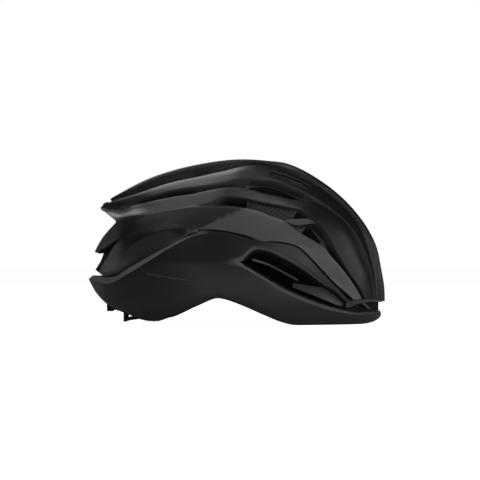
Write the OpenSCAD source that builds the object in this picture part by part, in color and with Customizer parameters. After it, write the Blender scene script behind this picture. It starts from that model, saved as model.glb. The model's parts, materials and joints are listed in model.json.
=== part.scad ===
// Road bike helmet, size M. +X is the front, +Z is up, and the origin lies under the middle of the rim.
// Curves are side views, [x, z] from the tail to the front, drawn at the reference size and scaled from it.

/* [Shell] */
// Length of the shell from the tail to the front
shell_l = 285; // [278:1:300]
// Width of the shell
shell_w = 205; // [200:1:215]
// Height from the rim to the crown
shell_h = 157; // [154:1:165]
// Thickness of the outer skins
skin_t = 1.2; // [0.8:0.1:1.4]
// Depth of the channels beside the crown spine
crown_channel = 8; // [5:0.5:9]
// Depth of the channels along the upper side
upper_channel = 7; // [5:0.5:8]
// Depth of the long vent channels on the side
side_channel = 9; // [6:0.5:10]
// Depth of the scoops under the rear lips
scoop_depth = 6; // [4:0.5:7]
// Half the width of the crown spine
spine_half = 19; // [16:1:22]
// Thickness of the carbon cage under the skin
cage_t = 1.0; // [0.6:0.1:1.2]

/* [Head space] */
// Length of the head space
head_l = 204; // [198:1:208]
// Width of the head space
head_w = 158; // [152:1:162]
// Height of the head space above the rim
head_top = 122; // [118:1:124]
// Height of the widest level of the head space
head_z = 30; // [28:1:32]
// Depth of the air channel in the foam along the crown
groove = 4; // [3:0.5:5]

/* [Clearances] */
// Gap between pieces that rest on each other
seat_gap = 0.3; // [0.2:0.05:0.5]
// Gap round the pins and shafts that turn
run_gap = 0.05; // [0.03:0.01:0.1]

/* [Fit system] */
// Distance of the temple pivots in front of the middle
temple_x = 30; // [26:1:34]
// Height of the temple pivots
temple_z = 32; // [30:1:34]
// Radius of the temple pins
temple_pin_r = 2.5; // [2:0.1:3]
// Height of the flexible bands
band_h = 9; // [7:0.5:10]
// Thickness of the flexible bands
band_t = 1.6; // [1.2:0.1:2]
// Radius of the fit dial
dial_r = 11.5; // [10:0.5:12]
// Thickness of the fit dial
dial_t = 9; // [7:0.5:10]
// Height of the dial axis
dial_z = 22.5; // [22:0.5:24]
// Radius of the dial shaft
shaft_r = 3; // [2.5:0.1:3.2]
// Teeth of the pinion
pinion_teeth = 12; // [12:1:14]
// Distance between the teeth of the racks
tooth_pitch = 2.6; // [2.4:0.05:2.8]
// Length of each rack
rack_l = 42; // [40:1:46]
// Width of the hanger strip that sets the height
hanger_w = 13; // [10:1:15]
// Radius of the rear cradle, seen from above
cradle_r = 66.5; // [64:0.5:68]
// Thickness of the rear cradle
cradle_t = 2.5; // [2:0.1:3]
// Half the width of the rear cradle
cradle_half = 45; // [40:1:46]

/* [Pads] */
// Thickness of the comfort pads
pad_t = 6; // [4:0.5:7]

/* [Straps] */
// Width of the webbing
strap_w = 15; // [12:0.5:16]
// Thickness of the webbing
strap_t = 1.4; // [1:0.1:1.6]
// Thickness of the buckle
buckle_t = 8; // [7:0.5:9]
// Width of the buckle
buckle_w = 24; // [22:1:26]
// Radius of the cam lever pins
cam_pin_r = 1.2; // [1:0.1:1.4]

/* [Hidden] */
$fn = 48;
eps = 0.01;

// Size that the curves are drawn at, and the scale from it
ref = [285, 205, 157];
k = [shell_l / ref.x, shell_w / ref.y, shell_h / ref.z];

// Curves of the upper shell, from the crown down
crown = [[-119, 120], [-106.5, 127], [-82.5, 139], [-58.5, 147], [-29, 153.5], [8.5, 157], [31.5, 155.5],
    [47, 153.5], [61.5, 148], [80.5, 137], [100, 122], [114, 107.5], [126, 91], [134.5, 73.5], [139, 52.5],
    [142, 34.5], [142.5, 21]];
spine = [[-120, 118], [-106.5, 125.5], [-82.5, 135.5], [-58.5, 142.5], [-34.5, 147], [-10.5, 151.5],
    [8.5, 155], [28, 153.5], [47, 148], [61.5, 142.5], [80.5, 133], [100, 118.5], [114, 103.5], [125, 85],
    [131.5, 64], [135, 43], [135.5, 22]];
rib2_top = [[-123.5, 113.5], [-113.5, 118.5], [-102, 121], [-82.5, 127.5], [-58.5, 135], [-34.5, 140],
    [-10.5, 145.5], [8.5, 150], [28, 150], [47, 145], [61.5, 139], [80.5, 129.5], [98, 115.5], [111.5, 101],
    [121, 84.5], [127.5, 65], [132, 43], [133.5, 22.5]];
rib2_mid = [[-126, 112.5], [-111.5, 116.5], [-97, 121], [-82.5, 124.5], [-58.5, 131], [-34.5, 135],
    [-13.5, 140], [8.5, 146.5], [30, 146], [45, 142], [60.5, 136], [78.5, 125.5], [96, 110], [108.5, 96],
    [119, 77.5], [126, 59.5], [130.5, 41], [132.5, 23]];
rib2_low = [[-127.5, 111.5], [-110.5, 112], [-97, 116.5], [-80.5, 121], [-58.5, 126.5], [-34.5, 130],
    [-15.5, 132.5], [4, 136], [21, 137], [38.5, 135], [57.5, 127.5], [76, 118], [94, 106], [105.5, 96],
    [115, 83.5], [122, 68], [127.5, 52.5], [130, 38], [130.5, 23]];
rib3_top = [[-128.5, 110], [-110.5, 108], [-97, 112], [-80.5, 116], [-61.5, 120], [-41.5, 123], [-20,
    127.5],
    [-1, 129.5], [14.5, 127], [28, 123.5], [51, 118.5], [63.5, 116.5], [77, 112], [90, 105], [102, 95.5],
    [111.5, 81.5], [118.5, 66], [124.5, 50.5], [127.5, 37], [128.5, 23]];
rib3_mid = [[-125, 108], [-110.5, 105], [-97, 108.5], [-80.5, 111.5], [-61.5, 115], [-41.5, 118], [-20,
    123],
    [-1, 124.5], [14.5, 122], [32.5, 118.5], [51, 115], [63.5, 112], [77, 106], [90, 97], [102, 85],
    [112, 66], [121, 44], [125.5, 24]];
rib3_low = [[-114, 99], [-102, 103], [-82.5, 105.5], [-63.5, 109], [-47, 111.5], [-30, 113.5], [-14, 119.5],
    [7.5, 119], [17.5, 116.5], [28, 114], [47, 110.5], [59.5, 108.5], [72, 101.5], [80.5, 93], [88, 83.5],
    [96, 67], [106, 49], [114, 38.5], [122, 24]];
side_top = [[-113, 96], [-102, 101.5], [-82.5, 103.5], [-63.5, 107], [-47, 109.5], [-26, 111.5], [4, 110.5],
    [13.5, 109], [23, 106.5], [32.5, 102.5], [47, 97], [58.5, 88], [70, 81], [81.5, 74], [91.5, 62.5],
    [108, 42.5], [119.5, 24]];
side_mid = [[-126, 82.5], [-113.5, 91], [-102, 96], [-82.5, 99.5], [-58.5, 103.5], [-34.5, 106],
    [-10.5, 106.5], [8.5, 104], [23, 99.5], [37.5, 94], [52, 86], [64.5, 78.5], [76, 70], [87.5, 56.5],
    [100, 42], [117, 24]];
fin_low = [[-133.5, 68.5], [-123, 74.5], [-111.5, 82], [-97, 88], [-78, 94], [-58.5, 97], [-39.5, 97],
    [-20, 96.5], [-1, 93.5], [18, 89], [34.5, 85], [50, 81], [61.5, 77], [73, 67], [84.5, 53.5],
    [97, 39.5], [115, 23.5]];
pillar = [[-130, 49.5], [-121, 64.5], [-111.5, 77], [-97, 83.5], [-78, 90.5], [-58.5, 93.5], [-39.5, 93.5],
    [-20, 93], [-1, 90.5], [18, 86], [34.5, 82], [50, 79], [60, 75.5], [70.5, 65.5], [82.5, 53],
    [95, 39.5], [113, 23.5]];
crease = [[-127, 48], [-117, 51.5], [-110.5, 60.5], [-102, 69.5], [-90.5, 79], [-82.5, 83.5], [-73, 87.5],
    [-58.5, 90], [-34.5, 90], [-20, 89.5], [-6, 87.5], [8.5, 84], [23.5, 79.5], [40, 78], [57, 74],
    [68.5, 64.5], [80.5, 52], [93, 39], [110.5, 23.5]];
scoop = [[-132.5, 46], [-116, 46.5], [-109.5, 48.5], [-92, 58.5], [-73, 69], [-54, 79], [-42, 86.5],
    [-20, 88.5], [8.5, 83], [40, 77], [57, 73], [68, 64], [80, 51.5], [92.5, 38.5], [110, 23]];

// Curves of the lower shell, from its top edge down
lip = [[-142, 45.5], [-125, 44.5], [-117.5, 45.5], [-111.5, 48.5], [-102, 54.5], [-83, 65], [-63.5, 75],
    [-45.5, 84], [-34.5, 88], [-20, 87.5], [-6, 86], [8.5, 82], [23.5, 78], [40, 76.5], [56.5, 72.5],
    [68, 62.5], [79.5, 50], [92, 37], [108, 21.5], [122, 14], [138.5, 13]];
lip_low = [[-141.5, 42], [-125, 39], [-116, 40], [-103.5, 47], [-82, 60], [-65.5, 70.5], [-47.5, 80.5],
    [-34.5, 85], [-20, 85], [-6, 83], [8.5, 78.5], [20, 75.5], [32.5, 73.5], [47, 68], [61.5, 59],
    [75, 47.5], [90, 35], [107.5, 20.5], [122, 13.5], [138.5, 12.5]];
vent_top = [[-140.5, 40.5], [-135.5, 36.5], [-116, 34.5], [-102, 40], [-82.5, 49.5], [-63.5, 56.5],
    [-44, 59.5], [-25, 60], [-7.5, 60.5], [6, 60.5], [13.5, 67], [20, 71], [31.5, 69], [42, 64],
    [61.5, 53], [82.5, 38.5], [96, 30], [107, 20], [122, 13], [138.5, 12]];
vent_low = [[-140, 39.5], [-134.5, 33.5], [-116, 29.5], [-102, 34.5], [-82.5, 43], [-63.5, 50],
    [-44, 54.5], [-25, 57.5], [-7.5, 58.5], [6, 58.5], [23.5, 49], [45, 36.5], [63.5, 28], [85.5, 19.5],
    [106, 14], [119, 12], [138.5, 11.5]];
body_mid = [[-139.5, 39], [-132.5, 30], [-113.5, 22], [-97, 22], [-82.5, 25.5], [-68, 30.5], [-54, 34.5],
    [-37.5, 38], [-20, 40], [-1, 40], [18, 34.5], [37.5, 26.5], [56.5, 20], [76, 14], [95, 9.5],
    [114, 7.5], [139.5, 8]];
rim = [[-139, 38.5], [-130.5, 26], [-121.5, 18], [-110.5, 12.5], [-101, 9], [-90.5, 5], [-79.5, 3.5],
    [-73, 4.5], [-54, 11.5], [-34.5, 19.5], [-20.5, 25], [-11, 24.5], [7.5, 18], [28, 9.5], [45, 3],
    [61.5, -0.5], [85.5, -1], [111, -0.5], [129.5, 1], [137.5, 4]];
// Rear edge of the bridge between the crown and the rear lip
bridge_edge = [[-137, 48], [-135, 51], [-130, 59], [-127, 66.5], [-122, 79.5], [-117.5, 91], [-114, 100],
    [-110, 109]];

// Half width of the shell, as a share, falls from 1 at the level env_z to 0 on this outline: [angle, radius]
env_z = 35;
envelope = [[-90, 112], [-45, 128], [-11, 142.3], [0, 142.6], [16, 140.2], [29, 136.8], [41, 133], [52,
    130.5],
    [62, 129], [68, 127.8], [75, 125.5], [86, 122.6], [99, 121.8], [112, 124.8], [124, 131], [133, 140],
    [141, 150], [150, 158], [160, 158], [170, 153], [180, 149.5], [190, 146.5], [225, 130], [270, 112]];
// Point that the columns of the upper shell fan out from
fan = [0, -7];
// Centre of the head space
head = [-2, 0, head_z];
head_half = [head_l / 2, head_w / 2, head_top - head_z];

// Columns of the upper and the lower shell, from the tail to the front
upper_n = 25;
lower_n = 27;
// Power that sets where the columns of the lower shell are closer
lower_bias = 0.955;
// Share of a channel's width at which its floor begins and ends
floor_share = 0.2;
// Share of the second rib's side, down to its thin edge
edge_share = 0.7;

function flat(list) = [for (a = list) each a];
function unit(v) = v / max(norm(v), eps);
function clamp01(v) = min(1, max(0, v));
function ramp(v, from, to) = clamp01((v - from) / (to - from));
function mixed(a, b, s) = a + (b - a) * s;

// Smooth curve through sorted [key, value] pairs
function slope(c, i) = i == 0 ? (c[1].y - c[0].y) / (c[1].x - c[0].x)
    : i == len(c) - 1 ? (c[i].y - c[i - 1].y) / (c[i].x - c[i - 1].x)
    : (c[i + 1].y - c[i - 1].y) / (c[i + 1].x - c[i - 1].x);
function span(c, v, i = 0) = i >= len(c) - 2 || v <= c[i + 1].x ? i : span(c, v, i + 1);
function hermite(a, b, ma, mb, h, s) = a * (2 * s ^ 3 - 3 * s ^ 2 + 1) + ma * h * (s ^ 3 - 2 * s ^ 2 + s)
    + b * (3 * s ^ 2 - 2 * s ^ 3) + mb * h * (s ^ 3 - s ^ 2);
function curve_at(c, v) = let (i = span(c, v), h = c[i + 1].x - c[i].x, s = clamp01((v - c[i].x) / h))
    hermite(c[i].y, c[i + 1].y, slope(c, i), slope(c, i + 1), h, s);

// Share of the way from the middle to the envelope in the side view, and the half width there
function env_share(x, z) = let (a = atan2(z - env_z, x), b = a < -90 ? a + 360 : a)
    norm([x, z - env_z]) / curve_at(envelope, b);
function half_width(x, z) = ref.y / 2 * sqrt(max(0, 1 - env_share(x, z) ^ 2));
function place(x, y, z) = [x * k.x, y * k.y, z * k.z];

// Values averaged with their neighbours, which keeps the plan view of a row smooth
function average(v) = [for (s = v) 1] * v / len(v);
function smoothed(v, n = 2) = n == 0 ? v : smoothed([for (j = [0 : len(v) - 1]) let (w = min(2, j,
    len(v) - 1 - j))
    average([for (i = [j - w : j + w]) v[i]])], n - 1);

// Upper curves as [angle, radius] round the fan point, from the front to the tail
function polar(c) = [for (i = [len(c) - 1 : -1 : 0]) let (d = c[i] - fan) [atan2(d.y, d.x), norm(d)]];
function fan_points(c) = let (p = polar(c), a0 = p[len(p) - 1].x, a1 = p[0].x)
    [for (j = [0 : upper_n - 1]) let (a = mixed(a0, a1, j / (upper_n - 1)), r = curve_at(p, a))
        [fan.x + r * cos(a), fan.y + r * sin(a)]];
function on_envelope(points) = let (y = smoothed([for (p = points) half_width(p.x, p.y)]))
    [for (j = [0 : len(points) - 1]) place(points[j].x, y[j], points[j].y)];
function inward(p, d) = p - unit([p.x - head.x, p.y, max(0, p.z - head.z)]) * d;
function sunk(points, depth) = [for (j = [0 : len(points) - 1]) inward(points[j], depth[j])];
function between(a, b, s) = [for (j = [0 : len(a) - 1]) mixed(a[j], b[j], s)];

// Depth of each channel along the shell
function depths(d, from, full, fade, end, last) =
    [for (j = [0 : upper_n - 1]) let (t = j / (upper_n - 1)) d * ramp(t, from, full) * mixed(1, last,
        ramp(t, fade, end))];
crown_depth = depths(crown_channel, -0.1, 0, 0.7, 1, 0.25);
upper_depth = depths(upper_channel, 0.03, 0.1, 0.66, 0.8, 0);
side_depth = depths(side_channel, 0.23, 0.3, 0.8, 1, 0.35);
scoop_depths = [for (j = [0 : upper_n - 1]) scoop_depth * (1 - ramp(j / (upper_n - 1), 0.15, 0.3))];

crown_f = fan_points(crown);
spine_f = fan_points(spine);
rib2_top_f = fan_points(rib2_top);
rib2_mid_f = fan_points(rib2_mid);
rib2_low_f = fan_points(rib2_low);
rib3_top_f = fan_points(rib3_top);
rib3_low_f = fan_points(rib3_low);
side_top_f = fan_points(side_top);
function spine_row() = [for (p = spine_f) place(p.x, mixed(spine_half, half_width(p.x, p.y), 0.3), p.y)];
function floor_row(a, b, s, depth) = sunk(between(a, b, s), depth);
crown_row = [for (p = crown_f) place(p.x, 0, p.y)];
rib2_top_row = on_envelope(rib2_top_f);
rib2_low_row = on_envelope(rib2_low_f);
rib3_top_row = on_envelope(rib3_top_f);
rib3_low_row = on_envelope(rib3_low_f);
side_top_row = on_envelope(side_top_f);
crown_floor_a = floor_row(spine_row(), rib2_top_row, floor_share, crown_depth);
crown_floor_b = floor_row(spine_row(), rib2_top_row, 1 - floor_share, crown_depth);
upper_floor_a = floor_row(rib2_low_row, rib3_top_row, floor_share, upper_depth);
upper_floor_b = floor_row(rib2_low_row, rib3_top_row, 1 - floor_share, upper_depth);
side_floor_a = floor_row(rib3_low_row, side_top_row, floor_share, side_depth);
side_floor_b = floor_row(rib3_low_row, side_top_row, 1 - floor_share, side_depth);
upper_rows = [crown_row, spine_row(), crown_floor_a, crown_floor_b, rib2_top_row, on_envelope(rib2_mid_f),
    on_envelope(between(rib2_mid_f, rib2_low_f, edge_share)), rib2_low_row, upper_floor_a, upper_floor_b,
    rib3_top_row, on_envelope(fan_points(rib3_mid)), rib3_low_row, side_floor_a, side_floor_b, side_top_row,
    on_envelope(fan_points(side_mid)), on_envelope(fan_points(fin_low)), on_envelope(fan_points(pillar)),
    on_envelope(fan_points(crease)), sunk(on_envelope(fan_points(scoop)), scoop_depths)];

// Openings of the upper shell: [band between two rows, first column, last column]
crown_band = 2;
slit_band = 5;
upper_band = 8;
side_band = 13;
exhaust_band = 17;
scoop_band = 19;
upper_openings = [[crown_band, 3, 6], [crown_band, 7, 10], [crown_band, 11, 14], [crown_band, 15, 19],
    [slit_band, 12, 14], [upper_band, 3, 6], [upper_band, 10, 14], [side_band, 7, 15], [side_band, 17, 21],
    [exhaust_band, 0, 2], [scoop_band, 8, upper_n - 1]];
function open_at(list, band, j) = len([for (o = list) if (o[0] == band && j >= o[1] && j < o[2]) 1]) > 0;
upper_keep = [for (b = [0 : len(upper_rows) - 2]) [for (j = [0 : upper_n - 2]) !open_at(upper_openings,
    b, j)]];

// Lower curves, sampled along the length, closer together at the ends
function lower_t(j) = (1 - cos(180 * (j / (lower_n - 1)) ^ lower_bias)) / 2;
function end_share(c, x) = let (e = x < 0 ? c[0] : c[len(c) - 1]) [abs(x / e.x), env_share(e.x, e.y)];
function ring_y(c, x, z) = let (e = end_share(c, x), s = env_share(x, z))
    ref.y / 2 * sqrt(max(0, 1 - s ^ 2 * (1 + min(1, e[0]) ^ 6 * (1 / e[1] ^ 2 - 1))));
function ring_row(c) = let (x0 = c[0].x, x1 = c[len(c) - 1].x)
    [for (j = [0 : lower_n - 1]) let (x = mixed(x0, x1, lower_t(j)), z = max(0, curve_at(c, x)),
        inner = j > 0 && j < lower_n - 1)
        place(x, inner ? ring_y(c, x, z) : 0, z)];
rim_w = 6;
rim_in = [for (p = ring_row(rim)) inward(p, rim_w)];
lower_rows = [ring_row(lip), ring_row(lip_low), ring_row(vent_top), ring_row(vent_low), ring_row(body_mid),
    ring_row(rim), rim_in];
vent_first = 13;
brow_first = 20;
lower_openings = [[2, vent_first, brow_first], [0, brow_first, lower_n - 1], [1, brow_first,
    lower_n - 1], [2, brow_first, lower_n - 1]];
lower_keep = [for (b = [0 : len(lower_rows) - 2]) [for (j = [0 : lower_n - 2]) !open_at(lower_openings,
    b, j)]];

// Whole grids from one side: the upper one runs across the crown, the lower one goes all the way round
function flip_y(row) = [for (p = row) [p.x, -p.y, p.z]];
function across(rows) = concat([for (i = [len(rows) - 1 : -1 : 1]) rows[i]], [for (r = rows) flip_y(r)]);
function across_keep(keep) = concat([for (i = [len(keep) - 1 : -1 : 0]) keep[i]], keep);
function around(rows) = [for (r = rows) concat(flip_y(r), [for (j = [len(r) - 2 : -1 : 1]) r[j]])];
function around_keep(keep) = [for (b = keep) concat(b, [for (j = [len(b) - 1 : -1 : 0]) b[j]])];

// Unit normals of a grid, which point outwards
function next(i, n, wrap) = wrap ? (i + 1) % n : min(i + 1, n - 1);
function prev(i, n, wrap) = wrap ? (i + n - 1) % n : max(i - 1, 0);
function normals(g, wrap) = let (n = len(g), m = len(g[0]))
    [for (i = [0 : n - 1]) [for (j = [0 : m - 1]) unit(cross(
        g[next(i, n, false)][j] - g[prev(i, n, false)][j],
        g[i][next(j, m, wrap)] - g[i][prev(j, m, wrap)]))]];
function offset_grid(g, nrm, d) = [for (i = [0 : len(g) - 1]) [for (j = [0 : len(g[0]) - 1])
    g[i][j] - nrm[i][j] * d]];

// Solid between an outer and an inner grid, with the cells of keep filled
module grid_solid(outer, inner, keep, wrap = false) {
    n = len(outer);
    m = len(outer[0]);
    cols = wrap ? m : m - 1;
    count = n * m;
    function at(i, j) = i * m + j % m;
    function kept(i, j) = i >= 0 && i < n - 1 && (wrap || (j >= 0 && j < cols)) && keep[i][(j + m) % m];
    function side(a, b) = [[b, a, a + count], [b, a + count, b + count]];
    faces = [for (i = [0 : n - 2]) for (j = [0 : cols - 1]) if (keep[i][j])
        let (a = at(i, j), b = at(i, j + 1), c = at(i + 1, j + 1), d = at(i + 1, j))
        each concat(
            [[a, b, c], [a, c, d], [a + count, c + count, b + count], [a + count, d + count, c + count]],
            kept(i - 1, j) ? [] : side(a, b),
            kept(i, j + 1) ? [] : side(b, c),
            kept(i + 1, j) ? [] : side(c, d),
            kept(i, j - 1) ? [] : side(d, a))];
    polyhedron(points = concat(flat(outer), flat(inner)), faces = faces, convexity = 10);
}

upper_grid = across(upper_rows);
upper_normals = normals(upper_grid, false);
lower_grid = around(lower_rows);
lower_normals = normals(lower_grid, true);

module upper_shell() {
    color("#33363b") grid_solid(upper_grid, offset_grid(upper_grid, upper_normals, skin_t),
        across_keep(upper_keep));
}

module lower_shell() {
    color("#2f3237") grid_solid(lower_grid, offset_grid(lower_grid, lower_normals, skin_t),
        around_keep(lower_keep), true);
}

// Foam: rows follow the skin at an inset, and end on the head space
cage_inset = skin_t + seat_gap;
liner_inset = cage_inset + cage_t + seat_gap + 1.3;
arch_rise = 24;
arch_half = 60;
function head_point(p, more = 0) = let (d = p - head, h = head_half + [more, more, more], low = d.z < 0,
    s = 1 / norm([d.x / h.x, d.y / h.y, low ? 0 : d.z / h.z])) low ? [head.x + d.x * s, d.y * s, p.z] :
        head + d * s;
function arched(p) = p + [0, 0, arch_rise * max(0, 1 - (p.y / arch_half) ^ 4) * ramp(-p.x, 60,
    85) * (1 - ramp(p.z, 25, 95))];
function on_head(rows, more) = [for (i = [0 : len(rows) - 1]) [for (p = rows[i]) arched(head_point(p,
    more[i]))]];
function pulled_in(row, s) = let (n = len(row)) [for (j = [0 : n - 1])
    j == 0 ? mixed(row[0], row[1], s) : j == n - 1 ? mixed(row[n - 1], row[n - 2], s) : row[j]];
function inset(row, d) = [for (p = row) inward(p, d)];

liner_from = [0, 2, 3, 5, 8, 9, 11, 13, 14, 16, 17, 18, 20];
crown_outer = [for (i = liner_from) pulled_in(inset(upper_rows[i], liner_inset), 0.12)];
crown_inner = on_head(crown_outer, [for (i = liner_from) i < 3 ? groove : 0]);
crown_openings = [[1, 3, 6], [1, 7, 10], [1, 11, 14], [1, 15, 19], [4, 3, 6], [4, 10, 14], [7, 7, 15],
    [7, 17, 21], [10, 0, 2]];
crown_keep = [for (b = [0 : len(crown_outer) - 2]) [for (j = [0 : upper_n - 2]) !open_at(crown_openings,
    b, j)]];

foam_top = [[-141, 44.5], [-132, 42], [-125, 41.5], [-116, 42], [-109.5, 46.5], [-92, 56.5], [-73, 67],
    [-54, 77],
    [-42, 84.5], [-20, 86], [8.5, 80.5], [40, 74.5], [57, 70.5], [68, 61], [80, 48.5], [92.5, 36], [107,
        20],
    [122, 13], [138.5, 12]];
rim_inset = skin_t + 2 * seat_gap;
function foam_top_depth(x) = mixed(scoop_depth, 0, ramp(x, -75, -40)) + liner_inset - rim_inset;
foam_lift = rim_inset + 1.4;
function lifted(row, d) = [for (p = row) p + [0, 0, d]];
rim_outer = [[for (p = ring_row(foam_top)) inward(p, rim_inset + foam_top_depth(p.x))],
    inset(ring_row(vent_top), rim_inset),
    inset(ring_row(vent_low), rim_inset), inset(ring_row(body_mid), rim_inset),
        lifted(inset(ring_row(rim), rim_inset), foam_lift)];
rim_inner = on_head(rim_outer, [0, 0, 0, 0, 0]);
rim_openings = [[1, vent_first, brow_first], [0, brow_first, lower_n - 1], [1, brow_first, lower_n - 1]];
rim_keep = [for (b = [0 : len(rim_outer) - 2]) [for (j = [0 : lower_n - 2]) !open_at(rim_openings, b, j)]];

// The crown foam is two mouldings that meet on this column
liner_split = 12;
function columns(g, from, to) = [for (row = g) [for (j = [from : to]) row[j]]];
module crown_moulding(from, to) {
    color("#1d1e20") grid_solid(columns(across(crown_outer), from, to), columns(across(crown_inner),
        from, to),
        columns(across_keep(crown_keep), from, to - 1));
}
module rear_crown_liner() { crown_moulding(0, liner_split); }
module front_crown_liner() { crown_moulding(liner_split, upper_n - 1); }

module rim_liner() {
    color("#222326") grid_solid(around(rim_outer), around(rim_inner), around_keep(rim_keep), true);
}

// Insect nets across the side vents, part of the way through the foam
net_depth = 0.42;
net_share = 0.04;
net_edge = 0.04;
module vent_net(left) {
    function through(i, s) = [for (j = [vent_first : brow_first]) mixed(rim_outer[i][j], rim_inner[i][j], s)];
    function clear_of(a, b) = pulled_in(between(a, b, net_edge), 2 * net_edge);
    function layer(s) = let (a = through(1, s), b = through(2, s)) [clear_of(a, b), clear_of(b, a)];
    color("#101113") sided(left) grid_solid(layer(net_depth + net_share), layer(net_depth),
        [[for (j = [vent_first : brow_first - 1]) true]]);
}
module left_vent_net() { vent_net(true); }
module right_vent_net() { vent_net(false); }

// Cage: a strip of the skin's own grid, one layer further in, with the crown vents left open
cage_cols = [11, 16];
cage_rows = 16;
module carbon_cage() {
    n = len(upper_rows);
    g = offset_grid(upper_grid, upper_normals, cage_inset);
    h = offset_grid(upper_grid, upper_normals, cage_inset + cage_t);
    function part(a) = [for (i = [n - 1 - cage_rows : n - 1 + cage_rows]) [for (j = [cage_cols[0] :
        cage_cols[1]]) a[i][j]]];
    half = [for (b = [0 : cage_rows - 1]) [for (j = [cage_cols[0] : cage_cols[1] - 1])
        !((b == crown_band || b == upper_band) && open_at(upper_openings, b, j))]];
    color("#3a3c3f") grid_solid(part(g), part(h), across_keep(half));
}

// Bridge from the crown foam down to the foam behind the rear lip
bridge_half = 14;
bridge_clear = 2.4;
bridge_drop = 3;
bridge_top_drop = 7;
module rear_bridge() {
    gap = 4 * seat_gap;
    function inner_at(z) =
        let (up = (z - head_z) / (head_half.z + bridge_clear))
            [head.x - (head_half.x + bridge_clear) * sqrt(1 - up ^ 2), 0, z];
    last = len(bridge_edge) - 1;
    low_z = rim_inner[0][0].z + gap;
    top_z = crown_inner[0][0].z - gap;
    function outer(i) = i == 0 ? mixed(rim_outer[0][0], rim_inner[0][0], 0.08) + [0, 0, gap]
        : i == last ? crown_outer[0][0] - [0, 0, gap] : place(bridge_edge[i].x, 0, bridge_edge[i].y);
    function inner(i) = inner_at(mixed(low_z, top_z, i / last));
    function spread(p, i, y, drop) = p + [0, y, i == 0 ? drop * bridge_drop :
        i == last ? -drop * bridge_top_drop : 0];
    function row(y, drop, back, inside) = [for (i = [0 : last]) spread(inside ? inner(i) : outer(i), i,
        y, drop) + [back, 0, 0]];
    color("#191a1c") grid_solid(
        [row(bridge_half, 1, 4, false), row(0, 0, 0, false), row(-bridge_half, 1, 4, false)],
        [row(bridge_half - 2, 1, 0, true), row(0, 0, 0, true), row(2 - bridge_half, 1, 0, true)],
        [for (b = [0 : 1]) [for (c = [0 : last - 1]) true]]);
}

// Struts across the brow vent
strut_y = [-50, -25, 0, 25, 50];
strut_w = 5;
strut_l = 8;
module brow_struts() {
    high = crown[len(crown) - 1].y * k.z - seat_gap;
    color("#26272a") for (y = strut_y) {
        front = shell_l / 2 * sqrt(1 - (y / (shell_w / 2)) ^ 2) - 16;
        low = curve_at(vent_low, front + 4) * k.z + seat_gap;
        translate([0, y + strut_w / 2, 0]) rotate([90, 0, 0]) linear_extrude(strut_w)
            polygon([[front, low], [front - strut_l, low], [front - 2 * strut_l, high], [front - strut_l,
                high]]);
    }
}

// Left-hand parts are drawn on the +Y side, and the right-hand ones are their mirror images
module sided(left) {
    if (left) children();
    else mirror([0, 1, 0]) children();
}

// Soft pads on the head space: edge_thin is the share of their thickness at the edge
lining = 1.5;
edge_thin = 0.3;
pad_seat = 0.7;
function pad_profile(u,
    v) = edge_thin + (1 - edge_thin) * sqrt((1 - abs(2 * u - 1) ^ 3) * (1 - abs(2 * v - 1) ^ 3));
function wall_at(az, z, d) = let (h = head_half - [d, d, d],
    f = z > head_z ? sqrt(1 - ((z - head_z) / h.z) ^ 2) : 1)
    [head.x + h.x * f * cos(az), h.y * f * sin(az), z];
function roof_at(x, y, d) = let (h = head_half - [d, d, d]) [x, y,
    head_z + h.z * sqrt(1 - ((x - head.x) / h.x) ^ 2 - (y / h.y) ^ 2)];
module wall_pad(az, z, nu, nv) {
    function at(i, j, d) = let (u = i / nu, v = j / nv) wall_at(mixed(az[0], az[1], v), mixed(z[1], z[0],
        u), pad_seat + d * pad_profile(u, v));
    grid_solid([for (i = [0 : nu]) [for (j = [0 : nv]) at(i, j, 0)]], [for (i = [0 : nu]) [for (j = [0 :
        nv]) at(i, j, pad_t)]],
        [for (i = [0 : nu - 1]) [for (j = [0 : nv - 1]) true]]);
}
module roof_pad(x, half, nu, nv) {
    function at(i, j, d) = let (u = i / nu, v = j / nv) roof_at(mixed(x[0], x[1], v), mixed(half, -half,
        u), pad_seat + d * pad_profile(u, v));
    grid_solid([for (i = [0 : nu]) [for (j = [0 : nv]) at(i, j, 0)]], [for (i = [0 : nu]) [for (j = [0 :
        nv]) at(i, j, pad_t)]],
        [for (i = [0 : nu - 1]) [for (j = [0 : nv - 1]) true]]);
}
module brow_pad() { color("#141516") wall_pad([-48, 48], [6, 30], 5, 16); }
module front_crown_pad() { color("#141516") roof_pad([28, 64], 33, 8, 6); }
module rear_crown_pad() { color("#141516") roof_pad([-66, -32], 33, 8, 6); }
module side_pad() { color("#141516") wall_pad([80, 106], [45, 61], 5, 8); }
module left_side_pad() { sided(true) side_pad(); }
module right_side_pad() { sided(false) side_pad(); }

// Temple pivots and the flexible bands that run back to the rear cradle
function wall_y(x, z, d) = let (h = head_half - [d, d, d], e = z > head_z ? (z - head_z) / h.z : 0)
    h.y * sqrt(max(0, 1 - ((x - head.x) / h.x) ^ 2 - e ^ 2));
anchor_r = 7;
anchor_t = 1.8;
pin_cap_t = 1;
eyelet_r = 6;
anchor_y = wall_y(temple_x + anchor_r, temple_z + anchor_r, 0) - 2 * seat_gap;
eyelet_y = anchor_y - anchor_t - seat_gap - band_t / 2;
cap_y = eyelet_y - band_t / 2 - seat_gap;
module along_y(r, from, to) {
    translate([0, to, 0]) rotate([90, 0, 0]) cylinder(r = r, h = to - from);
}
module temple_anchor() {
    color("#2a2b2e") translate([temple_x, 0, temple_z]) union() {
        along_y(anchor_r, anchor_y - anchor_t, anchor_y);
        along_y(temple_pin_r, cap_y - eps, anchor_y - eps);
        along_y(temple_pin_r + 1.6, cap_y - pin_cap_t, cap_y);
    }
}
module left_temple_anchor() { sided(true) temple_anchor(); }
module right_temple_anchor() { sided(false) temple_anchor(); }

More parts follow.
